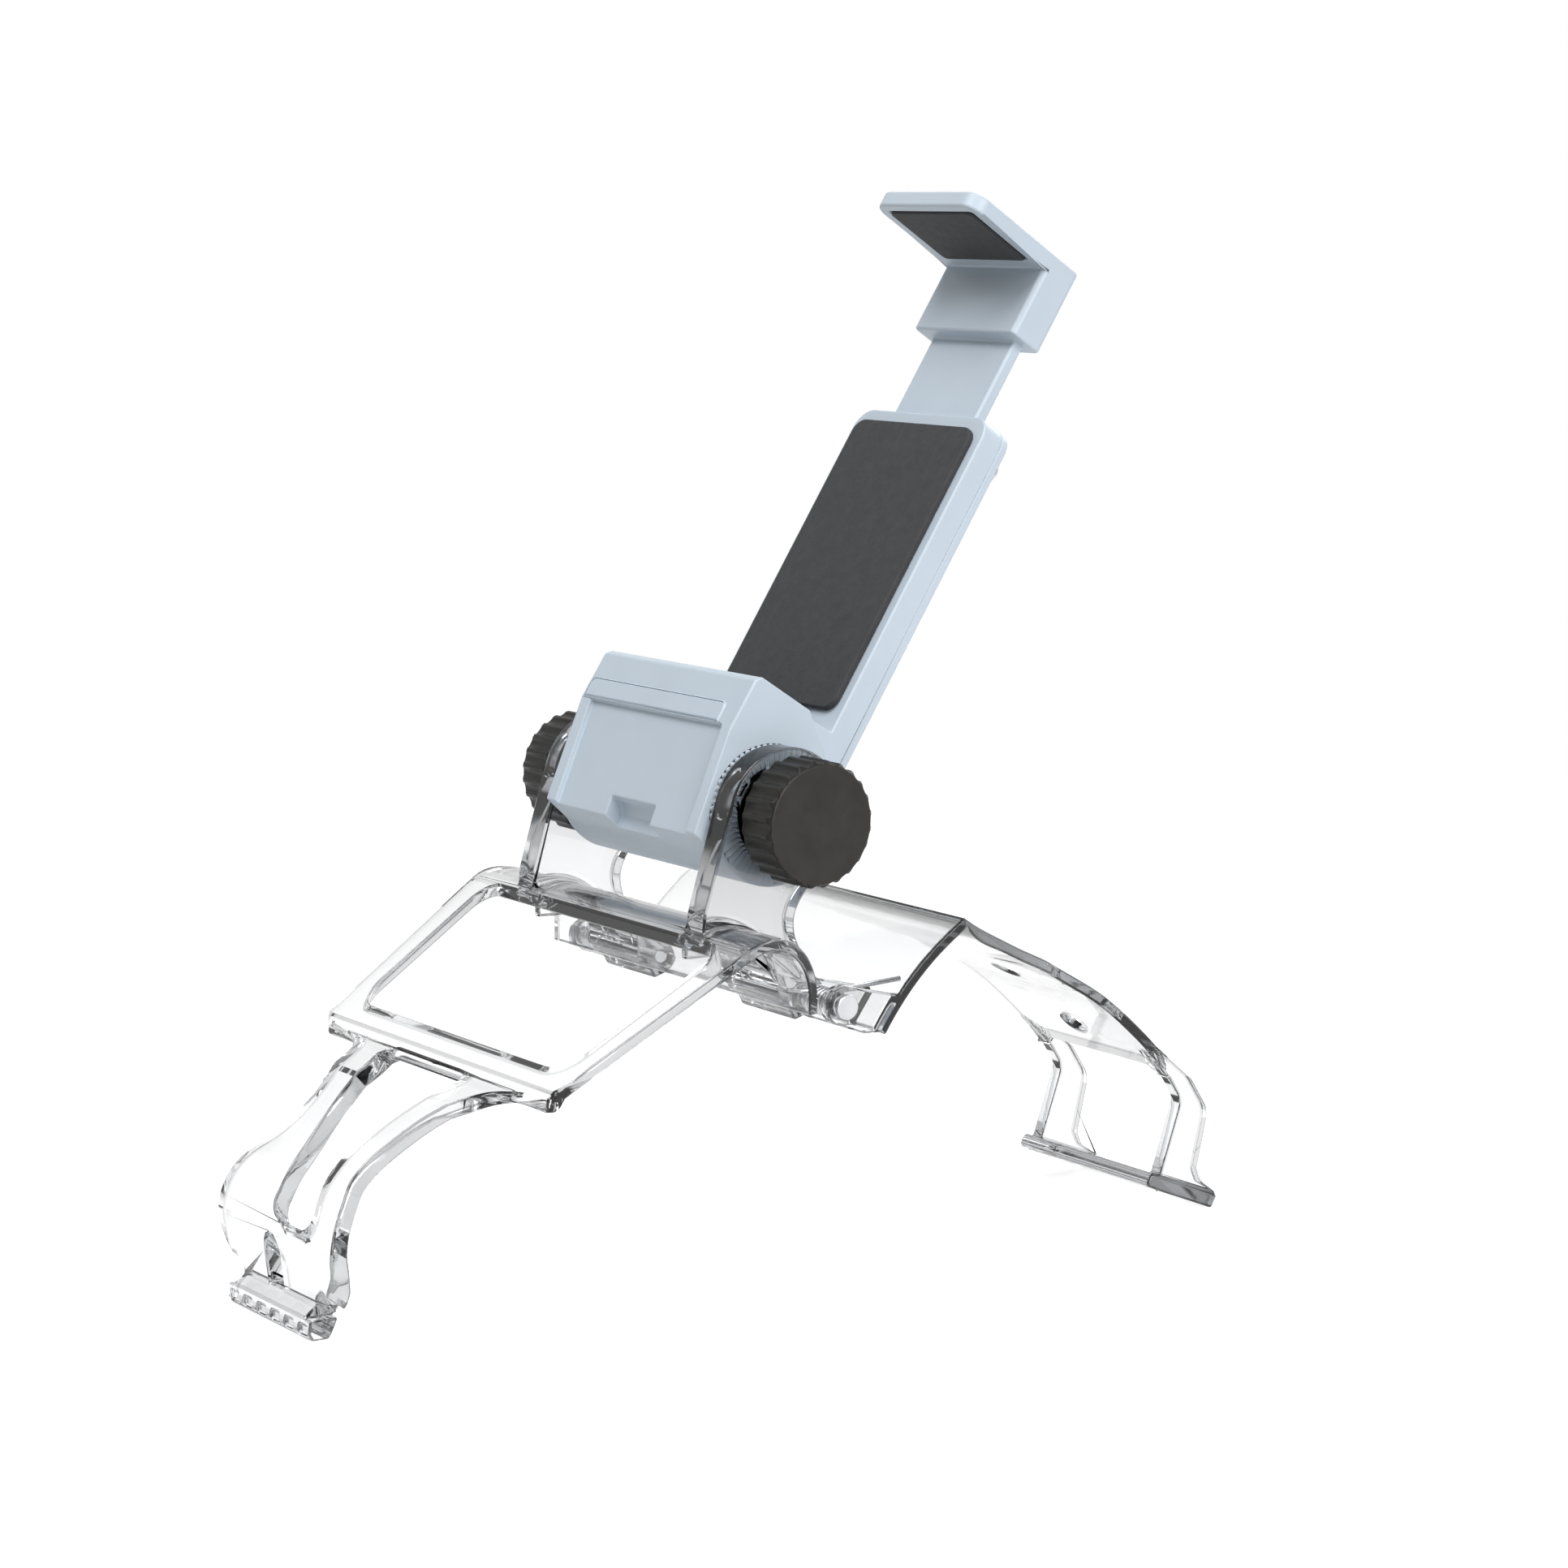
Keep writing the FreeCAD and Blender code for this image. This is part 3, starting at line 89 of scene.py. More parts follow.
class ClipShape(PropertyGroup):
    """Sizes of the details that are added to the clip."""

    clear_edge: FloatProperty(
        name="Clear Edge", description="Rounding of the clear brackets' edges",
        default=0.30 * MM, min=0.0, subtype="DISTANCE", unit="LENGTH", precision=5)
    clamp_edge: FloatProperty(
        name="Clamp Edge", description="Rounding of the clamp's moulded edges",
        default=0.22 * MM, min=0.0, subtype="DISTANCE", unit="LENGTH", precision=5)
    small_edge: FloatProperty(
        name="Small Edge", description="Rounding of knobs, washers, nuts and pins",
        default=0.12 * MM, min=0.0, subtype="DISTANCE", unit="LENGTH", precision=5)
    screw_head: FloatProperty(
        name="Screw Head", description="Height of a cover screw's head",
        default=0.8 * MM, min=0.0, subtype="DISTANCE", unit="LENGTH", precision=5)
    cross_length: FloatProperty(
        name="Cross Length", description="Length of the cross in a screw's head",
        default=1.7 * MM, min=0.0, subtype="DISTANCE", unit="LENGTH", precision=5)
    cross_width: FloatProperty(
        name="Cross Width", description="Width of the cross in a screw's head",
        default=0.42 * MM, min=0.0, subtype="DISTANCE", unit="LENGTH", precision=5)
    cross_depth: FloatProperty(
        name="Cross Depth", description="Depth of the cross in a screw's head",
        default=0.45 * MM, min=0.0, subtype="DISTANCE", unit="LENGTH", precision=5)
    jaw_turns: IntProperty(
        name="Jaw Spring Turns", description="Turns of each jaw spring", default=18, min=1)
    jaw_wire: FloatProperty(
        name="Jaw Spring Wire", description="Wire radius of a jaw spring",
        default=0.18 * MM, min=0.0, subtype="DISTANCE", unit="LENGTH", precision=5)


class ClipFinish(PropertyGroup):
    """Colours of the clip's materials."""

    pale_blue: FloatVectorProperty(
        name="Clamp", description="Moulded plastic of block and jaw",
        default=(0.49, 0.565, 0.635), size=3, min=0.0, max=1.0, subtype="COLOR")
    black: FloatVectorProperty(
        name="Knobs", description="Black plastic of the knobs",
        default=(0.027, 0.0245, 0.023), size=3, min=0.0, max=1.0, subtype="COLOR")
    clear_face: FloatVectorProperty(
        name="Clear Face", description="Clear plastic seen square to its face",
        default=(0.86, 0.863, 0.865), size=3, min=0.0, max=1.0, subtype="COLOR")
    # Painted shade: seen along its face the clear plastic is dark grey, standing in for the darker
    # surroundings it shows at grazing angles
    clear_edge: FloatVectorProperty(
        name="Clear Edge", description="Clear plastic seen along its face",
        default=(0.08, 0.08, 0.085), size=3, min=0.0, max=1.0, subtype="COLOR")
    clear_depth: FloatProperty(
        name="Clear Depth", description="How much clear plastic darkens along a metre",
        default=42.0, min=0.0)
    steel: FloatVectorProperty(
        name="Steel", description="Pins, studs, nuts and screws",
        default=(0.52, 0.53, 0.55), size=3, min=0.0, max=1.0, subtype="COLOR")
    rubber: FloatVectorProperty(
        name="Pads", description="Soft pads of plate, ledge and jaw",
        default=(0.030, 0.031, 0.033), size=3, min=0.0, max=1.0, subtype="COLOR")


# Materials

def new_material(name):
    """A material with one Principled shader, and its node tree."""
    material = bpy.data.materials.new(name)
    material.use_nodes = True
    tree = material.node_tree
    return material, tree, tree.nodes["Principled BSDF"]


def object_noise(tree, scale, detail=2.0, stretch=(1.0, 1.0, 1.0)):
    """Noise on the piece's own coordinates, which are in metres."""
    coordinates = tree.nodes.new("ShaderNodeTexCoord")
    mapping = tree.nodes.new("ShaderNodeMapping")
    mapping.inputs["Scale"].default_value = stretch
    noise = tree.nodes.new("ShaderNodeTexNoise")
    noise.inputs["Scale"].default_value = scale
    noise.inputs["Detail"].default_value = detail
    tree.links.new(coordinates.outputs["Object"], mapping.inputs["Vector"])
    tree.links.new(mapping.outputs["Vector"], noise.inputs["Vector"])
    return noise.outputs["Fac"]


def vary_colour(tree, shader, factor, colour, spread):
    """The base colour drifts a little round one colour."""
    ramp = tree.nodes.new("ShaderNodeValToRGB")
    ramp.color_ramp.elements[0].position = 0.3
    ramp.color_ramp.elements[1].position = 0.7
    ramp.color_ramp.elements[0].color = [c * (1.0 - spread) for c in colour] + [1.0]
    ramp.color_ramp.elements[1].color = [min(1.0, c * (1.0 + spread)) for c in colour] + [1.0]
    tree.links.new(factor, ramp.inputs["Fac"])
    tree.links.new(ramp.outputs["Color"], shader.inputs["Base Color"])


def vary_roughness(tree, shader, factor, low, high):
    """The roughness drifts between two values."""
    spread = tree.nodes.new("ShaderNodeMapRange")
    spread.inputs["To Min"].default_value = low
    spread.inputs["To Max"].default_value = high
    tree.links.new(factor, spread.inputs["Value"])
    tree.links.new(spread.outputs["Result"], shader.inputs["Roughness"])


def add_bump(tree, shader, height, depth, strength):
    """A fine grain of the given depth."""
    bump = tree.nodes.new("ShaderNodeBump")
    bump.inputs["Distance"].default_value = depth
    bump.inputs["Strength"].default_value = strength
    tree.links.new(height, bump.inputs["Height"])
    tree.links.new(bump.outputs["Normal"], shader.inputs["Normal"])


def paint_shade_where_marked(tree, shader, colour, mark, tint):
    """Painted shade: the base colour is multiplied by a darker tint where the face attribute is one."""
    marked = tree.nodes.new("ShaderNodeAttribute")
    marked.attribute_name = mark
    darker = tree.nodes.new("ShaderNodeMix")
    darker.data_type = "RGBA"
    darker.blend_type = "MULTIPLY"
    colour_inputs = [socket for socket in darker.inputs if socket.type == "RGBA"]
    colour_inputs[1].default_value = (*tint, 1.0)
    tree.links.new(marked.outputs["Fac"], darker.inputs["Factor"])
    tree.links.new(colour, colour_inputs[0])
    colour_output = [socket for socket in darker.outputs if socket.type == "RGBA"][0]
    tree.links.new(colour_output, shader.inputs["Base Color"])


# Painted shade on the clear plastic: its colours between square and grazing views, darker by how far the
# face turns away
CLEAR_PAINTED_SLOPE_SHADES = ((0.72, (0.66, 0.66, 0.665)), (0.87, (0.26, 0.26, 0.265)))
# Painted shade multiplied on the clear plastic's rounded edges
CLEAR_EDGE_PAINTED_SHADE = (0.55, 0.55, 0.56)


def clear_plastic(finish):
    """Clear moulded plastic: bright through its faces, with painted shade, grey where it slopes and at its
    edges.
    """
    material, tree, shader = new_material("clear_plastic")
    facing = tree.nodes.new("ShaderNodeLayerWeight")
    facing.inputs["Blend"].default_value = 0.5
    ramp = tree.nodes.new("ShaderNodeValToRGB")
    ramp.color_ramp.interpolation = "EASE"
    ramp.color_ramp.elements[0].position = 0.40
    ramp.color_ramp.elements[1].position = 1.0
    for place, colour in CLEAR_PAINTED_SLOPE_SHADES:
        ramp.color_ramp.elements.new(place).color = (*colour, 1.0)
    ramp.color_ramp.elements[0].color = (*finish.clear_face, 1.0)
    ramp.color_ramp.elements[-1].color = (*finish.clear_edge, 1.0)
    tree.links.new(facing.outputs["Facing"], ramp.inputs["Fac"])
    # Painted shade on the rounded edges
    paint_shade_where_marked(tree, shader, ramp.outputs["Color"], EDGE_SHADE_MARK, CLEAR_EDGE_PAINTED_SHADE)
    shader.inputs["Transmission Weight"].default_value = 1.0
    shader.inputs["IOR"].default_value = 1.45
    shader.inputs["Specular IOR Level"].default_value = 0.12
    vary_roughness(tree, shader, object_noise(tree, 260.0), 0.015, 0.06)
    add_bump(tree, shader, object_noise(tree, 120.0, 1.0), 0.03 * MM, 0.4)
    depth = tree.nodes.new("ShaderNodeVolumeAbsorption")
    depth.inputs["Color"].default_value = (0.0, 0.02, 0.05, 1.0)
    depth.inputs["Density"].default_value = finish.clear_depth
    tree.links.new(depth.outputs["Volume"], tree.nodes["Material Output"].inputs["Volume"])
    return material


def pale_plastic(finish):
    """Satin moulded plastic of the clamp."""
    material, tree, shader = new_material("pale_blue_plastic")
    vary_colour(tree, shader, object_noise(tree, 90.0), finish.pale_blue, 0.025)
    vary_roughness(tree, shader, object_noise(tree, 700.0), 0.38, 0.50)
    add_bump(tree, shader, object_noise(tree, 3800.0, 3.0), 0.012 * MM, 0.6)
    return material


# Painted shade on the knob's fluted rim, multiplied on its black
RIM_PAINTED_SHADE = (0.42, 0.43, 0.41)


def black_plastic(finish):
    """Finely sparked black plastic, with painted shade on the flutes of a rim."""
    material, tree, shader = new_material("black_plastic")
    shader.inputs["Specular IOR Level"].default_value = 0.18
    vary_colour(tree, shader, object_noise(tree, 350.0), finish.black, 0.14)
    plain = shader.inputs["Base Color"].links[0].from_socket
    paint_shade_where_marked(tree, shader, plain, RIM_SHADE_MARK, RIM_PAINTED_SHADE)
    vary_roughness(tree, shader, object_noise(tree, 900.0), 0.34, 0.46)
    add_bump(tree, shader, object_noise(tree, 5200.0, 3.0), 0.02 * MM, 0.7)
    return material


def plated_steel(finish):
    """Plated steel with faint turning marks round the pins' axis."""
    material, tree, shader = new_material("plated_steel")
    shader.inputs["Metallic"].default_value = 1.0
    marks = object_noise(tree, 900.0, 2.0, (6.0, 1.0, 1.0))
    vary_colour(tree, shader, object_noise(tree, 300.0), finish.steel, 0.08)
    vary_roughness(tree, shader, marks, 0.22, 0.40)
    add_bump(tree, shader, marks, 0.006 * MM, 0.5)
    return material


def spring_wire(finish):
    """Bright drawn wire."""
    material, tree, shader = new_material("spring_wire")
    shader.inputs["Metallic"].default_value = 1.0
    vary_colour(tree, shader, object_noise(tree, 800.0), [0.8 * c for c in finish.steel], 0.10)
    vary_roughness(tree, shader, object_noise(tree, 1500.0), 0.20, 0.34)
    return material


def soft_rubber(finish):
    """Matt soft pad with a fine grain."""
    material, tree, shader = new_material("soft_rubber")
    vary_colour(tree, shader, object_noise(tree, 500.0), finish.rubber, 0.12)
    vary_roughness(tree, shader, object_noise(tree, 1400.0), 0.72, 0.88)
    add_bump(tree, shader, object_noise(tree, 4200.0, 4.0), 0.04 * MM, 0.8)
    return material


MATERIALS = {
    "clear_plastic": clear_plastic,
    "pale_blue_plastic": pale_plastic,
    "black_plastic": black_plastic,
    "steel": plated_steel,
    "spring_steel": spring_wire,
    "soft_pad": soft_rubber,
}


def material_for(slot):
    """The finish of a material slot, made once."""
    made = bpy.data.materials.get("finish_" + slot)
    if made is None:
        made = MATERIALS[slot](bpy.context.scene.clip_finish)
        made.name = "finish_" + slot
    return made


# Pieces

def node_body(node):
    """The body that holds a node."""
    for body, nodes in frame["record"]["behaviour"]["bodies"].items():
        if node in nodes:
            return body
    raise RuntimeError("no body holds " + node)


def node_slot(node):
    """The material slot of a node."""
    for part in frame["record"]["subparts"]:
        if part["node"] == node:
            return part["material_slot"]
    raise RuntimeError("no material slot for " + node)


def merged_copy(node):
    """A copy of a node's mesh with its triangles joined into flat faces."""
    mesh = bpy.data.meshes.new(node + "_dressed")
    work = bmesh.new()
    work.from_mesh(frame["nodes"][node].data)
    bmesh.ops.remove_doubles(work, verts=work.verts, dist=JOIN_GAP)
    bmesh.ops.dissolve_limit(work, angle_limit=FLAT_ANGLE, verts=work.verts, edges=work.edges)
    work.to_mesh(mesh)
    work.free()
    return mesh


def shown(name, mesh, slot):
    """An object at the origin with its finish."""
    obj = bpy.data.objects.new(name, mesh)
    bpy.context.scene.collection.objects.link(obj)
    mesh.materials.clear()
    mesh.materials.append(material_for(slot))
    return obj


def applied(obj):
    """The object's modifiers become its plain mesh."""
    bpy.context.view_layer.update()
    evaluated = obj.evaluated_get(bpy.context.evaluated_depsgraph_get())
    mesh = bpy.data.meshes.new_from_object(evaluated)
    obj.modifiers.clear()
    obj.data = mesh


def stand_for(obj, node):
    """The object rides on the node's body, in its place, and the node is hidden."""
    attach(obj, node_body(node))
    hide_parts(node)


PULL_ROUNDS = 6
PULL_SHARE = 0.75


def pull_in(mesh, node, limit):
    """Corners that a rounding pushed off the node's surface join their nearest neighbour on it."""
    solid = frame["nodes"][node].data
    surface = BVHTree.FromPolygons([v.co for v in solid.vertices], [p.vertices[:] for p in solid.polygons])
    work = bmesh.new()
    work.from_mesh(mesh)
    for _ in range(PULL_ROUNDS):
        loose = {v for v in work.verts if surface.find_nearest(v.co)[3] > limit}
        targets = {}
        for vert in loose:
            firm = [edge.other_vert(vert) for edge in vert.link_edges]
            firm = [other for other in firm if other not in loose]
            if firm:
                targets[vert] = min(firm, key=lambda other: (other.co - vert.co).length)
        if not targets:
            break
        bmesh.ops.weld_verts(work, targetmap=targets)
    bmesh.ops.dissolve_degenerate(work, dist=0.001 * MM, edges=work.edges)
    work.to_mesh(mesh)
    work.free()


def mark_edges(mesh):
    """Faces of the second slot become an attribute that the finish reads, to paint shade on them."""
    mark = mesh.attributes.new(EDGE_SHADE_MARK, "FLOAT", "FACE")
    for index, face in enumerate(mesh.polygons):
        mark.data[index].value = float(face.material_index > 0)
        face.material_index = 0
    while len(mesh.materials) > 1:
        mesh.materials.pop(index=1)


RIM_TURN = 0.8


def mark_rim(mesh):
    """Faces round the X axis become an attribute that the finish reads, to paint shade on the rim."""
    mark = mesh.attributes.new(RIM_SHADE_MARK, "FLOAT", "FACE")
    for index, face in enumerate(mesh.polygons):
        mark.data[index].value = float(abs(face.normal.x) < RIM_TURN)


def dress(node, radius, segments=2, marked=False):
    """A rounded, shaded copy of a node stands for it."""
    slot = node_slot(node)
    mesh = merged_copy(node)
    obj = shown(node + "_dressed", mesh, slot)
    mesh.shade_smooth()
    mesh.set_sharp_from_angle(angle=EDGE_ANGLE)
    bevel = obj.modifiers.new("edges", "BEVEL")
    bevel.width = radius
    bevel.segments = segments
    bevel.limit_method = "ANGLE"
    bevel.angle_limit = EDGE_ANGLE
    bevel.use_clamp_overlap = False
    bevel.miter_outer = "MITER_ARC"
    # The rounding's faces take the second slot, which marks them for painted shade
    if marked:
        mesh.materials.append(material_for(slot))
        bevel.material = 1
    applied(obj)
    pull_in(obj.data, node, PULL_SHARE * radius)
    weigh = obj.modifiers.new("shading", "WEIGHTED_NORMAL")
    weigh.keep_sharp = True
    applied(obj)
    if marked:
        mark_edges(obj.data)
    stand_for(obj, node)
    return obj


# Coil springs and screws made by node trees

WIRE_SIDES = 12
TURN_STEPS = 28
SCREW_SIDES = 32


def new_tree(name, labels):
    """A node tree that takes points, lengths and a finish, with its first node's outputs."""
    tree = bpy.data.node_groups.new(name, "GeometryNodeTree")
    interface = tree.interface
    interface.new_socket("Geometry", in_out="OUTPUT", socket_type="NodeSocketGeometry")
    interface.new_socket("Geometry", in_out="INPUT", socket_type="NodeSocketGeometry")
    for label in labels:
        interface.new_socket(label, in_out="INPUT", socket_type="NodeSocketFloat")
    interface.new_socket("Finish", in_out="INPUT", socket_type="NodeSocketMaterial")
    return tree, tree.nodes.new("NodeGroupInput").outputs


def end_tree(tree, given, geometry):
    """Instances become real, and the finish is set."""
    real = tree.nodes.new("GeometryNodeRealizeInstances")
    finish = tree.nodes.new("GeometryNodeSetMaterial")
    result = tree.nodes.new("NodeGroupOutput")
    tree.links.new(geometry, real.inputs["Geometry"])
    tree.links.new(real.outputs["Geometry"], finish.inputs["Geometry"])
    tree.links.new(given["Finish"], finish.inputs["Material"])
    tree.links.new(finish.outputs["Geometry"], result.inputs["Geometry"])


def coil_tree():
    """A wire wound along Z, with its turns, radii and height as inputs."""
    tree, given = new_tree("coil_spring", ("Turns", "Coil Radius", "Wire Radius", "Height"))
    nodes = tree.nodes
    links = tree.links
    spiral = nodes.new("GeometryNodeCurveSpiral")
    spiral.inputs["Resolution"].default_value = TURN_STEPS
    links.new(given["Turns"], spiral.inputs["Rotations"])
    links.new(given["Coil Radius"], spiral.inputs["Start Radius"])
    links.new(given["Coil Radius"], spiral.inputs["End Radius"])
    links.new(given["Height"], spiral.inputs["Height"])
    section = nodes.new("GeometryNodeCurvePrimitiveCircle")
    section.inputs["Resolution"].default_value = WIRE_SIDES
    links.new(given["Wire Radius"], section.inputs["Radius"])
    wire = nodes.new("GeometryNodeCurveToMesh")
    wire.inputs["Fill Caps"].default_value = True
    links.new(spiral.outputs["Curve"], wire.inputs["Curve"])
    links.new(section.outputs["Curve"], wire.inputs["Profile Curve"])
    smooth = nodes.new("GeometryNodeSetShadeSmooth")
    links.new(wire.outputs["Mesh"], smooth.inputs["Geometry"])
    end_tree(tree, given, smooth.outputs["Geometry"])
    return tree


def screw_tree():
    """A cross-head screw on each point of a mesh, standing on its tip along Z."""
    tree, given = new_tree("set_of_screws", (
        "Length", "Shank Radius", "Head Radius", "Head Height", "Head Edge",
        "Cross Length", "Cross Width", "Cross Depth"))
    nodes = tree.nodes
    links = tree.links

    def reckoned(first, second, operation="ADD"):
        """A length worked out from two others, or from one and a number."""
        node = nodes.new("ShaderNodeMath")
        node.operation = operation
        links.new(first, node.inputs[0])
        if isinstance(second, float):
            node.inputs[1].default_value = second
        else:
            links.new(second, node.inputs[1])
        return node.outputs[0]

    def raised(mesh, height):
        """The mesh moved up along Z."""
        place = nodes.new("ShaderNodeCombineXYZ")
        links.new(height, place.inputs["Z"])
        move = nodes.new("GeometryNodeTransform")
        links.new(mesh, move.inputs["Geometry"])
        links.new(place.outputs["Vector"], move.inputs["Translation"])
        return move.outputs["Geometry"]

    def round_bar(radius, depth, middle):
        """A cylinder round Z, with its middle at a height."""
        bar = nodes.new("GeometryNodeMeshCylinder")
        bar.inputs["Vertices"].default_value = SCREW_SIDES
        links.new(radius, bar.inputs["Radius"])
        links.new(depth, bar.inputs["Depth"])
        return raised(bar.outputs["Mesh"], middle)

    def cross_bar(wide, deep, tall, middle):
        """One bar of the cross."""
        size = nodes.new("ShaderNodeCombineXYZ")
        for axis, length in zip("XYZ", (wide, deep, tall)):
            links.new(length, size.inputs[axis])
        cube = nodes.new("GeometryNodeMeshCube")
        links.new(size.outputs["Vector"], cube.inputs["Size"])
        return raised(cube.outputs["Mesh"], middle)

    def combined(operation, meshes):
        """Meshes joined, cut or intersected, the first one being cut."""
        node = nodes.new("GeometryNodeMeshBoolean")
        node.operation = operation
        node.solver = "EXACT"
        meshes = list(meshes)
        if operation == "DIFFERENCE":
            links.new(meshes.pop(0), node.inputs["Mesh 1"])
        for mesh in reversed(meshes):
            links.new(mesh, node.inputs["Mesh 2"])
        return node.outputs["Mesh"]

    head_low = reckoned(given["Length"], given["Head Height"], "SUBTRACT")
    half_head = reckoned(given["Head Height"], 0.5, "MULTIPLY")
    head_middle = reckoned(given["Length"], half_head, "SUBTRACT")
    head = round_bar(given["Head Radius"], given["Head Height"], head_middle)
    cone = nodes.new("GeometryNodeMeshCone")
    cone.inputs["Vertices"].default_value = SCREW_SIDES
    top_radius = reckoned(given["Head Radius"], given["Head Edge"], "SUBTRACT")
    links.new(top_radius, cone.inputs["Radius Top"])
    links.new(reckoned(top_radius, given["Length"]), cone.inputs["Radius Bottom"])
    links.new(given["Length"], cone.inputs["Depth"])
    head = combined("INTERSECT", (head, cone.outputs["Mesh"]))
    shank_height = reckoned(head_low, reckoned(given["Head Height"], 0.25, "MULTIPLY"))
    shank_middle = reckoned(shank_height, 0.5, "MULTIPLY")
    shank = round_bar(given["Shank Radius"], shank_height, shank_middle)
    screw = combined("UNION", (head, shank))
    tall = reckoned(given["Cross Depth"], 2.0, "MULTIPLY")
    bars = combined("UNION", (
        cross_bar(given["Cross Length"], given["Cross Width"], tall, given["Length"]),
        cross_bar(given["Cross Width"], given["Cross Length"], tall, given["Length"])))
    screw = combined("DIFFERENCE", (screw, bars))

    points = nodes.new("GeometryNodeInstanceOnPoints")
    links.new(given["Geometry"], points.inputs["Points"])
    links.new(screw, points.inputs["Instance"])
    end_tree(tree, given, points.outputs["Instances"])
    return tree


def grown(name, tree, values, slot, points=()):
    """An object whose mesh a node tree makes from named inputs and points."""
    mesh = bpy.data.meshes.new(name)
    mesh.from_pydata(points, [], [])
    obj = bpy.data.objects.new(name, mesh)
    bpy.context.scene.collection.objects.link(obj)
    modifier = obj.modifiers.new("grow", "NODES")
    modifier.node_group = tree
    for item in tree.interface.items_tree:
        if item.item_type != "SOCKET" or item.in_out != "INPUT":
            continue
        if item.name == "Finish":
            modifier[item.identifier] = material_for(slot)
        elif item.name in values:
            modifier[item.identifier] = values[item.name]
    applied(obj)
    obj.data.materials.clear()
    obj.data.materials.append(material_for(slot))
    obj.data.polygons.foreach_set("material_index", [0] * len(obj.data.polygons))
    return obj


# Operators

class CLIP_OT_brackets(Operator):
    """Round the edges of the clear brackets and give them their clear finish, with painted shade on sloping
    faces and edges
    """

    bl_idname = "clip.brackets"
    bl_label = "Clear Brackets"

    def execute(self, context):
        shape = context.scene.clip_shape
        for node in ("front_bracket", "rear_bracket"):
            dress(node, shape.clear_edge, marked=True)
        return {"FINISHED"}


class CLIP_OT_clamp(Operator):
    """Round the edges of the pale block, its cover and its jaw"""

    bl_idname = "clip.clamp"
    bl_label = "Clamp and Jaw"

    def execute(self, context):
        shape = context.scene.clip_shape
        dress("clamp_body", shape.clamp_edge)
        dress("clamp_cover", shape.clamp_edge)
        dress("upper_jaw", shape.clamp_edge * 1.5, 3)
        return {"FINISHED"}


class CLIP_OT_pads(Operator):
    """Round the soft pads"""

    bl_idname = "clip.pads"
    bl_label = "Pads"

    def execute(self, context):
        for node in ("lower_pad", "back_pad", "upper_pad"):
            dress(node, context.scene.clip_shape.clamp_edge)
        return {"FINISHED"}


class CLIP_OT_knobs(Operator):
    """Round the knobs' flutes and rims, and the washers beside them"""

    bl_idname = "clip.knobs"
    bl_label = "Knobs and Washers"

    def execute(self, context):
        shape = context.scene.clip_shape
        for side in SIDES:
            knob = dress("knob_" + side, shape.small_edge)
            # The knob's rim faces get painted shade
            mark_rim(knob.data)
            dress("washer_" + side, shape.small_edge)
        return {"FINISHED"}


class CLIP_OT_hardware(Operator):
    """Finish the pins, studs and nuts"""

    bl_idname = "clip.hardware"
    bl_label = "Hardware"

    def execute(self, context):
        shape = context.scene.clip_shape
        for side in SIDES:
            dress("hinge_pin_" + side, shape.small_edge)
            dress("knob_stud_" + side, shape.small_edge)
            dress("square_nut_" + side, shape.small_edge)
        return {"FINISHED"}


TIP_GAP = 0.01 * MM


def span(corners, axis):
    """The least and the greatest measure of some corners along an axis."""
    measures = [corner[axis] for corner in corners]
    return min(measures), max(measures)


def screws_apart(corners):
    """The corners of the cover screws, one list for each of the four places."""
    halfway = sum(span(corners, 1)) / 2
    return [
        [c for c in corners if (c.x > 0) == right and (c.y > halfway) == low]
        for right in (False, True) for low in (False, True)]


class CLIP_OT_screws(Operator):
    """Set the cross-head screws into the clamp's cover"""

    bl_idname = "clip.screws"
    bl_label = "Screws"

    def execute(self, context):
        shape = context.scene.clip_shape
        node = "cover_screws"
        axes = Matrix((ACROSS, -CLAMP_UP, CLAMP_BACK)).transposed()
        corners = [axes.transposed() @ vert.co for vert in frame["nodes"][node].data.vertices]
        screws = screws_apart(corners)
        tips = [
            (sum(span(screw, 0)) / 2, sum(span(screw, 1)) / 2, span(screw, 2)[0])
            for screw in screws]
        screw = screws[-1]
        tip, top = span(screw, 2)
        left, right = span(screw, 0)
        tip_left, tip_right = span([c for c in screw if c.z < tip + TIP_GAP], 0)
        sizes = {
            "Length": top - tip,
            "Shank Radius": (tip_right - tip_left) / 2,
            "Head Radius": (right - left) / 2,
            "Head Height": shape.screw_head,
            "Head Edge": shape.small_edge,
            "Cross Length": shape.cross_length,
            "Cross Width": shape.cross_width,
            "Cross Depth": shape.cross_depth,
        }
        obj = grown(node + "_heads", screw_tree(), sizes, node_slot(node), tips)
        obj.data.transform(axes.to_4x4())
        obj.data.shade_smooth()
        obj.data.set_sharp_from_angle(angle=EDGE_ANGLE)
        stand_for(obj, node)
        return {"FINISHED"}


class CLIP_OT_hinge_springs(Operator):
    """Copy the torsion springs with smooth shading and their finish, in place of their solids"""

    bl_idname = "clip.hinge_springs"
    bl_label = "Hinge Springs"

    def execute(self, context):
        for side in SIDES:
            node = "torsion_spring_" + side
            mesh = merged_copy(node)
            obj = shown(node + "_wire", mesh, node_slot(node))
            mesh.shade_smooth()
            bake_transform(obj)
            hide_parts(node)
        return {"FINISHED"}


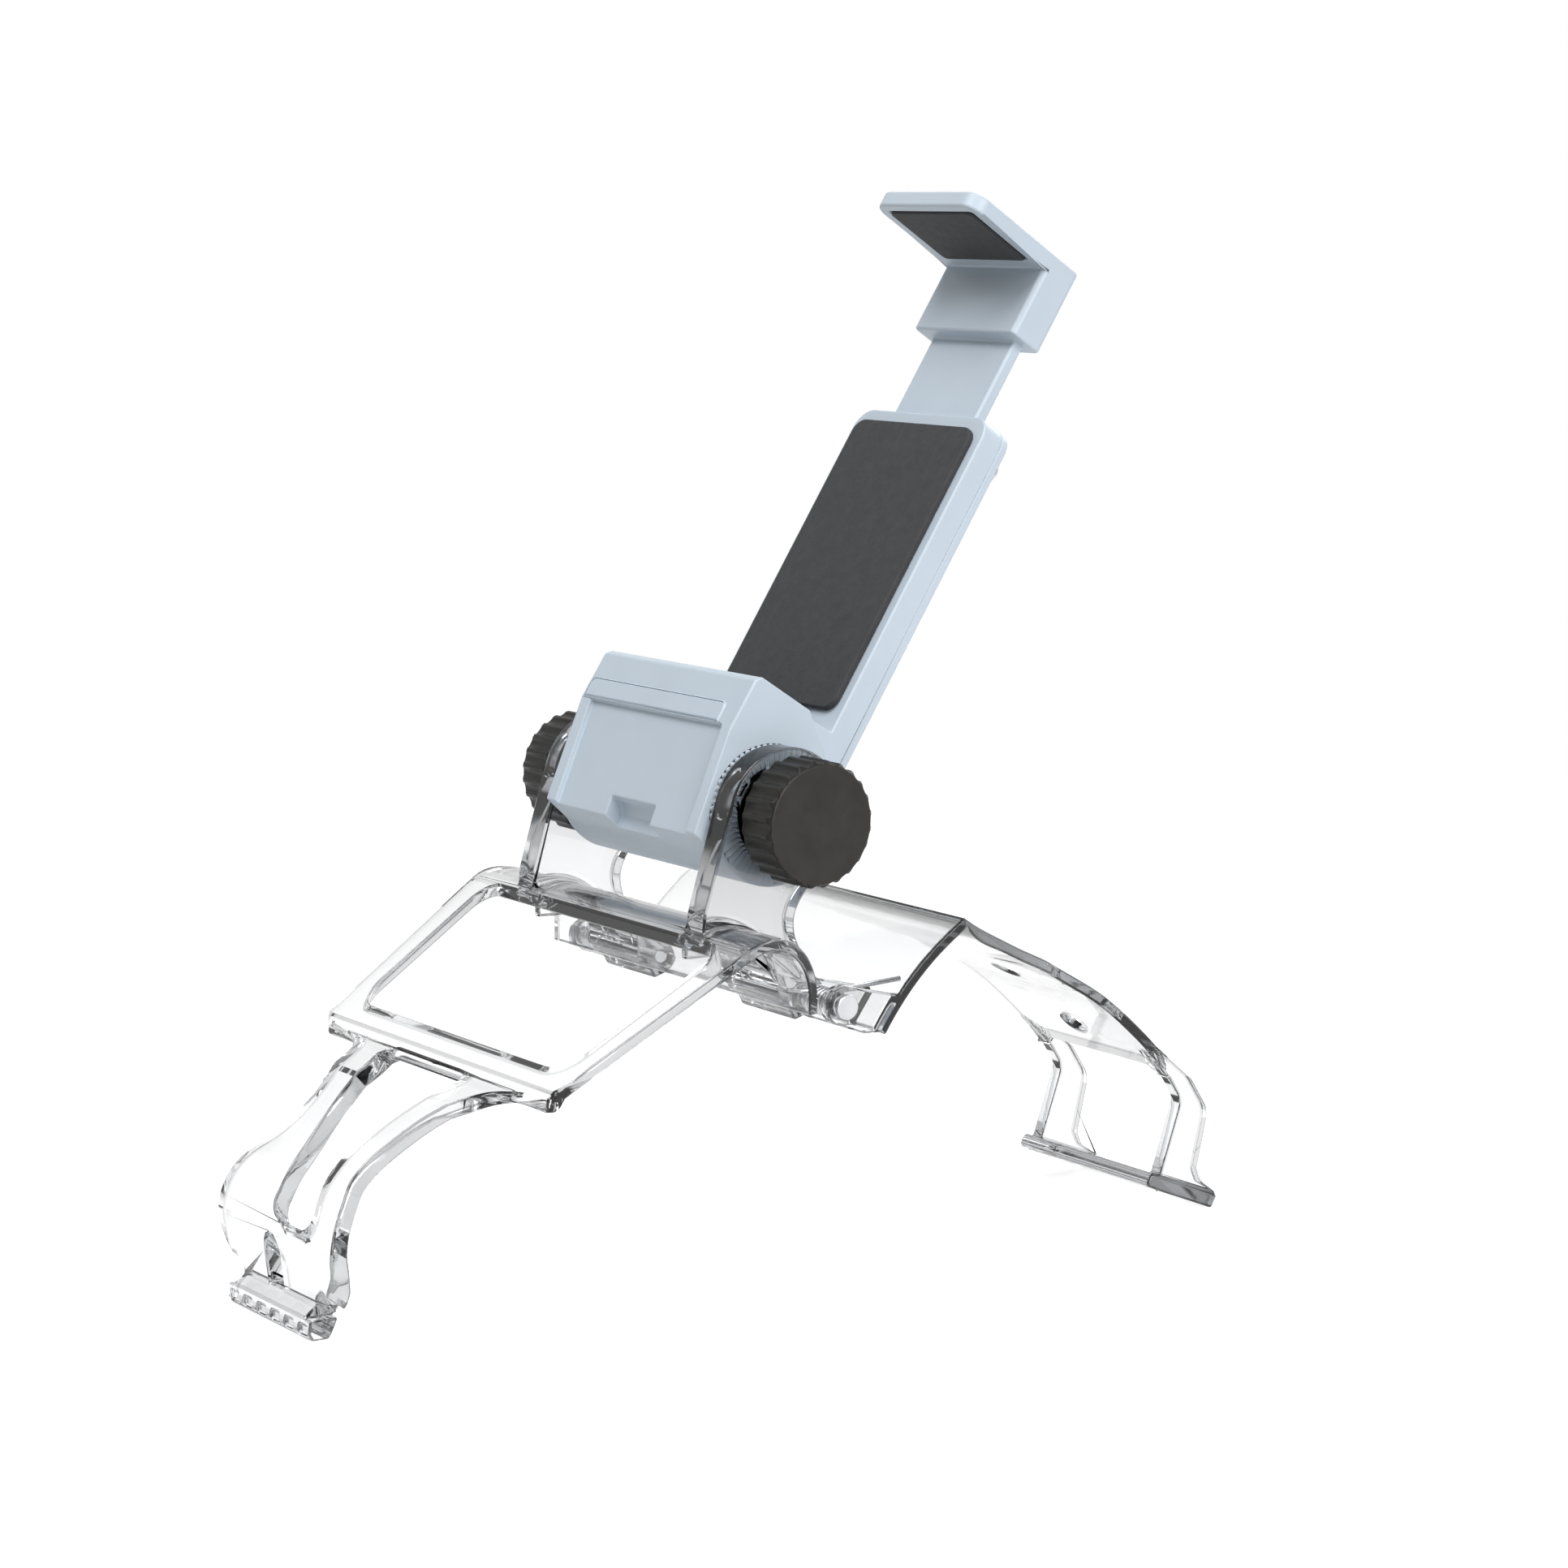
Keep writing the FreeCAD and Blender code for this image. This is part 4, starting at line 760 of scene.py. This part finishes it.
class CLIP_OT_jaw_springs(Operator):
    """Wind the jaw springs between the block's bar and the tongue"""

    bl_idname = "clip.jaw_springs"
    bl_label = "Jaw Springs"

    def execute(self, context):
        shape = context.scene.clip_shape
        tree = coil_tree()
        for side in SIDES:
            node = "jaw_spring_" + side
            low, high = (Vector(corner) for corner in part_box(node))
            middle = (low + high) / 2
            outer = (high.x - low.x) / 2
            length = (high.z - low.z - 2 * outer * math.sin(RECLINE)) / math.cos(RECLINE)
            wire = shape.jaw_wire
            sizes = {
                "Turns": float(shape.jaw_turns),
                "Coil Radius": outer - wire,
                "Wire Radius": wire,
                "Height": length - 2 * wire,
            }
            obj = grown(node + "_wire", tree, sizes, node_slot(node))
            axes = Matrix((ACROSS, CLAMP_BACK, CLAMP_UP)).transposed().to_4x4()
            bottom = middle - CLAMP_UP * (length / 2 - wire)
            obj.data.transform(Matrix.Translation(bottom) @ axes)
            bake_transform(obj)
            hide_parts(node)
        return {"FINISHED"}


class CLIP_OT_stage(Operator):
    """Set the pale floor, the white surroundings, the lamps and the camera"""

    bl_idname = "clip.stage"
    bl_label = "Stage"

    def execute(self, context):
        add_floor()
        add_world(context.scene)
        add_lamps()
        add_camera(context.scene)
        context.scene.view_settings.view_transform = "Standard"
        return {"FINISHED"}


# Stage

FLOOR_HALF = 3.0
LOOK_AT = Vector((0.0, 0.0, 0.06))
WHITE = (1.0, 1.0, 1.0, 1.0)

# The floor is matt near the clip and only shines beyond: distances, and levels near it
FLOOR_NEAR = 0.12
FLOOR_FAR = 0.60
FLOOR_SHINE = 0.60
FLOOR_MATT = 0.80
ROOM_LIGHT = 0.22


def seen_ray(tree):
    """One where the ray comes from the camera, a gloss or clear plastic."""
    path = tree.nodes.new("ShaderNodeLightPath")
    first = tree.nodes.new("ShaderNodeMath")
    first.operation = "MAXIMUM"
    second = tree.nodes.new("ShaderNodeMath")
    second.operation = "MAXIMUM"
    tree.links.new(path.outputs["Is Camera Ray"], first.inputs[0])
    tree.links.new(path.outputs["Is Glossy Ray"], first.inputs[1])
    tree.links.new(first.outputs[0], second.inputs[0])
    tree.links.new(path.outputs["Is Transmission Ray"], second.inputs[1])
    return second.outputs[0]


def add_floor():
    """A pale floor that passes into the white of the room."""
    mesh = bpy.data.meshes.new("floor")
    corners = [(-FLOOR_HALF, -FLOOR_HALF, 0), (FLOOR_HALF, -FLOOR_HALF, 0),
               (FLOOR_HALF, FLOOR_HALF, 0), (-FLOOR_HALF, FLOOR_HALF, 0)]
    mesh.from_pydata(corners, [], [(0, 1, 2, 3)])
    floor = bpy.data.objects.new("floor", mesh)
    bpy.context.scene.collection.objects.link(floor)
    material, tree, shader = new_material("pale_floor")
    shader.inputs["Roughness"].default_value = 1.0
    shader.inputs["Specular IOR Level"].default_value = 0.0
    shader.inputs["Emission Color"].default_value = WHITE
    place = tree.nodes.new("ShaderNodeTexCoord")
    away = tree.nodes.new("ShaderNodeVectorMath")
    away.operation = "LENGTH"
    tree.links.new(place.outputs["Object"], away.inputs[0])
    level = tree.nodes.new("ShaderNodeMapRange")
    level.interpolation_type = "SMOOTHSTEP"
    level.inputs["From Min"].default_value = FLOOR_NEAR
    level.inputs["From Max"].default_value = FLOOR_FAR
    level.inputs["To Min"].default_value = FLOOR_SHINE
    level.inputs["To Max"].default_value = 1.0
    tree.links.new(away.outputs["Value"], level.inputs["Value"])
    matt = tree.nodes.new("ShaderNodeMapRange")
    matt.inputs["From Min"].default_value = FLOOR_SHINE
    matt.inputs["From Max"].default_value = 1.0
    matt.inputs["To Min"].default_value = FLOOR_MATT
    matt.inputs["To Max"].default_value = 0.0
    tree.links.new(level.outputs["Result"], matt.inputs["Value"])
    tree.links.new(matt.outputs["Result"], shader.inputs["Base Color"])
    gain = tree.nodes.new("ShaderNodeMath")
    gain.operation = "MULTIPLY"
    tree.links.new(level.outputs["Result"], gain.inputs[1])
    tree.links.new(seen_ray(tree), gain.inputs[0])
    tree.links.new(gain.outputs[0], shader.inputs["Emission Strength"])
    mesh.materials.append(material)


def add_world(scene):
    """A white room, which lights the clip only softly."""
    world = bpy.data.worlds.new("white_room")
    world.use_nodes = True
    scene.world = world
    tree = world.node_tree
    background = tree.nodes["Background"]
    background.inputs["Color"].default_value = WHITE
    level = tree.nodes.new("ShaderNodeMapRange")
    level.inputs["To Min"].default_value = ROOM_LIGHT
    level.inputs["To Max"].default_value = 1.0
    tree.links.new(seen_ray(tree), level.inputs["Value"])
    tree.links.new(level.outputs["Result"], background.inputs["Strength"])


def add_lamp(name, place, power, width):
    """A round area lamp that points at the clip."""
    data = bpy.data.lights.new(name, "AREA")
    data.shape = "DISK"
    data.size = width
    data.energy = power
    lamp = bpy.data.objects.new(name, data)
    bpy.context.scene.collection.objects.link(lamp)
    lamp.location = place
    lamp.rotation_euler = (LOOK_AT - Vector(place)).to_track_quat("-Z", "Y").to_euler()


def add_lamps():
    add_lamp("key_lamp", (0.05, -0.45, 1.05), 8.5, 0.7)
    add_lamp("side_lamp", (0.95, 0.00, 0.40), 8.0, 0.7)
    add_lamp("back_lamp", (-0.35, 0.80, 0.60), 3.0, 0.6)


# Camera of the photograph, in the clip's own frame
CAMERA_PLACE = Vector((0.42021, -0.28957, 0.13235))
CAMERA_RIGHT = Vector((0.5715, 0.8204, 0.0222))
CAMERA_UP = Vector((-0.1229, 0.0589, 0.9907))
CAMERA_LENS = 89.5
CAMERA_SENSOR = 36.0


def add_camera(scene):
    """The camera at the viewing angle of the photograph."""
    data = bpy.data.cameras.new("camera")
    data.lens = CAMERA_LENS
    data.sensor_width = CAMERA_SENSOR
    data.clip_start = 0.01
    camera = bpy.data.objects.new("camera", data)
    scene.collection.objects.link(camera)
    right = CAMERA_RIGHT.normalized()
    back = right.cross(CAMERA_UP).normalized()
    up = back.cross(right)
    axes = Matrix((right, up, back)).transposed().to_4x4()
    camera.matrix_world = Matrix.Translation(CAMERA_PLACE) @ axes
    scene.camera = camera


class CLIP_PT_panel(Panel):
    """The clip's pieces in the 3D view's sidebar"""

    bl_idname = "CLIP_PT_panel"
    bl_label = "Phone Clip"
    bl_space_type = "VIEW_3D"
    bl_region_type = "UI"
    bl_category = "Phone Clip"

    def draw(self, context):
        layout = self.layout
        for operator in OPERATORS:
            layout.operator(operator.bl_idname)
        for group in (context.scene.clip_shape, context.scene.clip_finish):
            box = layout.box()
            for name in group.__annotations__:
                box.prop(group, name)


OPERATORS = (
    CLIP_OT_brackets,
    CLIP_OT_clamp,
    CLIP_OT_pads,
    CLIP_OT_knobs,
    CLIP_OT_hardware,
    CLIP_OT_screws,
    CLIP_OT_hinge_springs,
    CLIP_OT_jaw_springs,
    CLIP_OT_stage,
)
CLASSES = (ClipShape, ClipFinish, *OPERATORS, CLIP_PT_panel)


def register():
    for cls in CLASSES:
        bpy.utils.register_class(cls)
    bpy.types.Scene.clip_shape = PointerProperty(type=ClipShape)
    bpy.types.Scene.clip_finish = PointerProperty(type=ClipFinish)


def unregister():
    del bpy.types.Scene.clip_finish
    del bpy.types.Scene.clip_shape
    for cls in reversed(CLASSES):
        bpy.utils.unregister_class(cls)


def main():
    register()
    bpy.ops.clip.brackets()
    bpy.ops.clip.clamp()
    bpy.ops.clip.pads()
    bpy.ops.clip.knobs()
    bpy.ops.clip.hardware()
    bpy.ops.clip.screws()
    bpy.ops.clip.hinge_springs()
    bpy.ops.clip.jaw_springs()
    bpy.ops.clip.stage()


if __name__ == "__main__":
    main()
